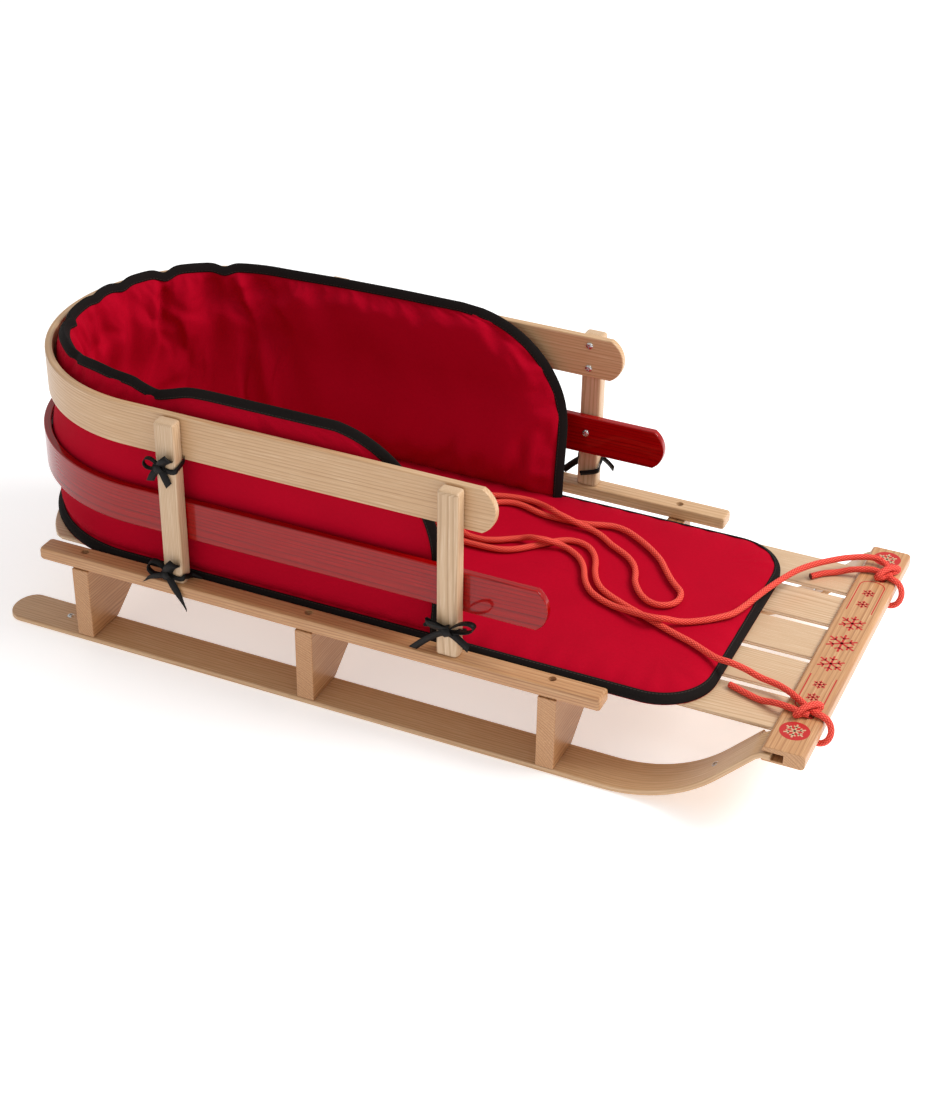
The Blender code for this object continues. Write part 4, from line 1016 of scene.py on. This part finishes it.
# The cord's points from above, in millimetres, and where they leave its rest on the pad, how far above it.
CORD_ROUTE = [
    # from the near knot over the slats and on to the cushion
    (392.5, -103, -8.4), (383, -97.5, -8.7), (374, -94.5, -8.2), (359, -93.2, -6.7), (344, -91.2, -3.4),
    (330, -92), (316, -90.5), (302, -84.2), (288, -77.3), (272.7, -71.5), (259.1, -66.1), (238, -56.8),
    (214.6, -47.3), (202.4, -41.5), (190, -35), (178.7, -26.5), (170, -15), (163.4, -1.5), (158.3, 13.1),
    (151.6, 25.5), (142.5, 35), (131, 39.5), (120, 38.5), (111, 33), (104.6, 26.5), (97.3, 18.8),
    (90.1, 11.2), (82.7, 4), (74.7, -2), (65.6, -5.8), (55.3, -7.5), (44.3, -8),
    # the wide turn back, behind the cushion's wall
    (27, -7.5), (6, -1.5), (-10, 14), (-16, 38), (-11, 62), (4, 79), (22, 87), (39.4, 91.5), (55.8, 92.7),
    (66, 90.5, 0.4),
    # over the later strand, and on round the loop
    (74.6, 85.7, 2.2), (80.5, 80.4, 4.3), (86.6, 75, 6.7), (93, 71.2, 6.9), (101, 68.9, 6.4),
    (109.1, 67.6, 5.2), (117.2, 66.8, 3.6), (124.9, 66.8, 1.9), (132.8, 66.1, 0.5), (141.7, 62.7),
    (150.6, 57), (159.5, 49.9), (168.4, 44.4), (177.2, 39.2), (185.9, 32.5), (194.1, 23), (200.2, 11),
    (204.6, -2.2), (211.3, -13.6), (219.5, -23.5), (229, -30), (239.5, -31.5), (248.2, -27), (252.8, -18.7),
    (253, -9.5), (249.5, -0.5), (241.7, 7.5), (233.3, 17), (224, 29.5), (214.5, 42.5), (203.3, 53.6),
    (191.8, 63), (178.5, 72.2), (165, 79.6), (152.4, 82.2), (140.9, 80), (129.6, 76.2), (120, 73.8),
    (111, 72.8), (101.5, 72.6), (92, 72.2), (81.5, 72.5), (72, 74.4), (61.7, 77.8), (51.7, 80.6), (42.8, 81),
    (33.1, 78.2), (24.5, 72.5),
    # the tight turn back, inside the wide one
    (13.5, 61), (5, 45), (5, 28), (13, 13), (27, 4.5), (42, 3.6), (50.3, 6.1), (57.5, 9.6), (64.3, 14),
    (70.9, 18.2, 0.2), (77, 20.8, 1),
    # over the first strand, beside it, and over it again on the way to the far knot
    (83.5, 21.2, 3.4), (90, 19.3, 5.7), (96.4, 18, 7), (102.5, 18.9, 7), (108, 21.2, 5.3), (114, 23.6, 2.9),
    (121.5, 24.2, 0.9), (130.3, 20.8), (139.3, 14.5), (147, 6), (153.5, -5), (159, -17.5, 0.2), (166, -29),
    (175, -38.8), (188, -46.6), (201, -51.2), (209.8, -53.8, 0.9), (218.6, -56.6, 2.4), (227, -59.4, 4),
    (235.4, -61.6, 5.3), (243.6, -63, 6.5), (250.8, -62, 6.7), (257.2, -58.5, 5.5), (263.5, -54, 2.6),
    (270, -49, 0.6), (276, -45), (287, -37), (297, -27.5), (306.5, -16), (312.5, 0.5), (317.7, 20),
    (323.2, 39.9), (329.2, 59.2, -0.4), (338, 82.5, -0.9), (348.4, 101.2, -1.9), (360.1, 116.5, -2.9),
    (372.4, 129.9, -3.9), (385.6, 140.4, -4.9), (396.1, 146, -5.9), (405, 147, -6.9),
]
# Places from the middle of each knot, with heights from the top of the bar, in millimetres. The bundle is the
# pull cord's way in, with its way out over the front of the bar, and the wrap is what holds it to the tail.
BUNDLES = {
    "near": [(-17.0, 18.5, 4.8), (-9.5, 13.8, 4.6), (-2.0, 8.0, 4.3), (4.5, 3.2, 4.1), (10.0, 0.8, 4.3)],
    "far": [(-4.5, 25.5, 6.3), (1.8, 21.8, 5.2), (6.0, 14.5, 4.3), (8.8, 7.5, 4.0), (11.5, 1.5, 4.2)],
}
WRAPS = {
    "near": [(0.0, -1.0, 3.4), (-6.0, -7.5, 3.4), (-5.5, -9.5, 7.2), (-1.0, -4.0, 11.2), (5.0, 4.5, 11.4),
             (9.5, 11.0, 7.6), (10.0, 11.5, 3.6), (6.0, 5.5, 3.5)],
    "far": [(6.0, 1.5, 3.4), (-0.5, -2.5, 3.5), (0.5, -4.0, 7.4), (4.5, 2.5, 11.2), (9.5, 10.5, 11.2),
            (14.5, 17.0, 7.4), (14.0, 17.5, 3.6), (9.0, 11.0, 3.5)],
}
TAIL_ENDS = {
    "near": [(4.0, -3.0, 3.8), (-4.5, -3.6, 4.0), (-11.0, -1.0, 4.4)],
    "far": [(10.0, 2.0, 3.7), (4.0, 5.5, 3.9), (-4.0, 8.5, 4.2), (-11.0, 7.6, 4.5)],
}
TAILS = {
    "near": [(0.3820, -0.1180, 0.0965), (0.3660, -0.1140, SLAT_REST + 0.0002), (0.3500, -0.1090, SLAT_REST),
             (0.3340, -0.1030, SLAT_REST)],
    "far": [(0.3830, 0.1250, 0.0965), (0.3700, 0.1210, SLAT_REST + 0.0002), (0.3580, 0.1130, SLAT_REST),
            (0.3480, 0.1020, SLAT_REST)],
}
# The loop through the bar, seen from the side: x and z.
LOOP_SIDE = [(0.4240, 0.0984), (0.4298, 0.0952), (0.4333, 0.0888), (0.4340, 0.0815), (0.4315, 0.0735),
             (0.4260, 0.0690), (0.4190, 0.0690), (0.4145, 0.0740), (0.4135, 0.0800), (0.4135, 0.0870),
             (0.4135, 0.0935)]


def cord_piece(name, route, replaces, melted=False):
    """A round braided cord along a route, its last end melted or not. Returns it and its middle line."""
    line = smooth_line(route, 2.0 * MM)
    tangent = unit(np.gradient(line, axis=0))
    side = unit(np.cross(tangent[0], (0.0, 0.0, 1.0)) + 1e-6)
    rings, braids = [], []
    for point, ahead, length in zip(line, tangent, lengths_along(line)):
        side = unit(side - ahead * (side @ ahead))
        up = np.cross(ahead, side)
        for k in range(CORD_SIDES):
            turn = 2 * math.pi * k / CORD_SIDES
            rings.append(point + CORD_RADIUS * (side * math.cos(turn) + up * math.sin(turn)))
            braids.append((length, min(k, CORD_SIDES - k) / CORD_SIDES * 2, 0.0))
    points = np.array(rings).reshape(len(line), CORD_SIDES, 3)
    mesh = grid_mesh(name, points, wrap=True, caps=True)
    set_vectors(mesh, "braid", braids)
    piece = new_piece(name, mesh, BRAID, replaces)
    if melted:
        mesh.materials.append(MELTED)
        end = mesh.polygons[-1]
        end.material_index = 1
        end.use_smooth = False
    return piece, line


def make_cords():
    route = [(point[0] * MM, point[1] * MM, REST + sum(point[2:]) * MM) for point in CORD_ROUTE]
    main, line = cord_piece("pull_cord_braid", route, ["pull_cord"])
    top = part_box("front_bar")[1].z
    others = []
    for side, sign in SIDES.items():

        def knotted(places):
            return [(KNOT_X + x * MM, sign * KNOT_Y + y * MM, top + z * KNOT_FLATNESS * MM)
                    for x, y, z in places]

        loop = knotted(BUNDLES[side]) + [(x, sign * KNOT_Y, z) for x, z in LOOP_SIDE]
        loop_piece, _ = cord_piece(f"cord_loop_{side}_braid", loop, [f"cord_loop_{side}"])
        wrap, _ = cord_piece(f"cord_knot_{side}_braid", knotted(WRAPS[side]), [f"cord_knot_{side}"])
        tail_route = knotted(TAIL_ENDS[side]) + TAILS[side]
        tail, _ = cord_piece(f"cord_tail_{side}_braid", tail_route, [f"cord_tail_{side}"], melted=True)
        others += [loop_piece, wrap, tail]


# ---- print on the front bar ----
def flat_print(name, shapes, height, material):
    """Flat shapes just above the top of the bar, drawn in millimetres from its middle."""
    low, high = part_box("front_bar")
    middle = (low + high) / 2
    bm = bmesh.new()
    for shape in shapes:
        corners = [(middle.x + x * MM, middle.y + y * MM, high.z + height * MM) for x, y in shape]
        face = bm.faces.new([bm.verts.new(corner) for corner in corners])
        face.normal_update()
        if face.normal.z < 0:
            face.normal_flip()
    new_piece(name, from_bmesh(name, bm), material, smooth=False)


def stroke(start, end, width):
    """A straight stroke as a four-cornered shape."""
    ahead = np.subtract(end, start)
    square = np.array((-ahead[1], ahead[0])) / np.linalg.norm(ahead) * width / 2
    corners = ((start, 1), (end, 1), (end, -1), (start, -1))
    return [tuple(np.array(point) + square * sign) for point, sign in corners]


def snowflake(centre, size, width):
    """A plain six-armed flake of straight strokes."""
    strokes = []
    for k in range(6):
        angle = math.radians(60 * k + 30)
        ahead = np.array((math.cos(angle), math.sin(angle)))
        strokes.append(stroke(centre, centre + ahead * size, width))
        for turn in (-55, 55):
            twig = math.radians(turn)
            way = np.array((math.cos(angle + twig), math.sin(angle + twig)))
            start = centre + ahead * size * 0.52
            strokes.append(stroke(start, start + way * size * 0.34, width * 0.85))
    return strokes


# Places and sizes along the bar, in millimetres from its middle.
DISC_PLACES, DISC_RADIUS = (-148.0, 161.0), 13.5
FRAME_START, FRAME_END, FRAME_HALF_WIDTH, FRAME_ARCH, FRAME_LINE = 58.0, 106.0, 12.0, 9.0, 1.1
SIDE_FLAKES = ((36.0, 13.0), (72.0, 6.5), (93.0, 6.5))


def make_print():
    discs, flakes, lines = [], [], []
    for y in DISC_PLACES:
        centre = np.array((0.0, y))
        discs.append(arc(centre, DISC_RADIUS, 0, 355, 71))
        flakes += snowflake(centre, 10.0, 1.7)
    for sign in (-1, 1):
        end = sign * FRAME_END
        arch = [(FRAME_HALF_WIDTH * math.cos(a), end + sign * FRAME_ARCH * math.sin(a))
                for a in np.radians(np.linspace(0, 180, 25))]
        lines += [stroke(a, b, FRAME_LINE) for a, b in zip(arch, arch[1:])]
        for x in (-FRAME_HALF_WIDTH, FRAME_HALF_WIDTH):
            lines += [stroke((x, sign * FRAME_START), (x, end), FRAME_LINE)]
        for y, size in SIDE_FLAKES:
            lines += snowflake(np.array((0.0, sign * y)), size, 0.8 + 0.09 * size)
    lines += snowflake(np.array((0.0, 0.0)), 15.0, 2.2)
    flat_print("bar_print_discs", discs, 0.05, PRINT)
    flat_print("bar_print_flakes", flakes, 0.10, PALE_ASH)
    flat_print("bar_print_lines", lines, 0.05, PRINT)


# ---- stage ----
def area_light(name, location, target, size, power):
    light = bpy.data.lights.new(name, "AREA")
    light.shape = "RECTANGLE"
    light.size, light.size_y = size
    light.energy = power
    lamp = bpy.data.objects.new(name, light)
    lamp.location = location
    lamp.rotation_euler = (Vector(target) - Vector(location)).to_track_quat("-Z", "Y").to_euler()
    scene.collection.objects.link(lamp)


FLOOR_HALF_SIZE = 60.0
FLOOR_Z = -0.3 * MM          # just under the runners


def make_floor():
    """A white floor, with a little light of its own that keeps it as white as a cut-out background."""
    bm = bmesh.new()
    bmesh.ops.create_grid(bm, x_segments=1, y_segments=1, size=FLOOR_HALF_SIZE)
    floor = bpy.data.objects.new("floor", from_bmesh("floor", bm))
    floor.location.z = FLOOR_Z
    scene.collection.objects.link(floor)
    white = Graph("floor", Base_Color=(0.95, 0.95, 0.95), Roughness=0.9, Emission_Color=(1.0, 1.0, 1.0),
                  Emission_Strength=0.40)
    floor.data.materials.append(white.material)


def make_stage():
    make_floor()
    world = bpy.data.worlds.new("studio")
    scene.world = world
    world.use_nodes = True
    background = world.node_tree.nodes["Background"]
    background.inputs["Color"].default_value = (1.0, 1.0, 1.0, 1.0)
    background.inputs["Strength"].default_value = 0.60
    area_light("key", (1.45, 0.50, 1.70), (-0.1, 0.0, 0.1), size=(1.2, 1.0), power=39.0)
    area_light("front_fill", (-0.4, -2.4, 1.3), (0.0, 0.0, 0.15), size=(2.4, 1.6), power=1.2)
    scene.view_settings.view_transform = "Standard"


make_wood()
make_screws()
make_wall()
make_pad()
for label in SIDES:
    for tie_place in TIES:
        bow(label, tie_place)
make_cords()
make_print()
make_stage()
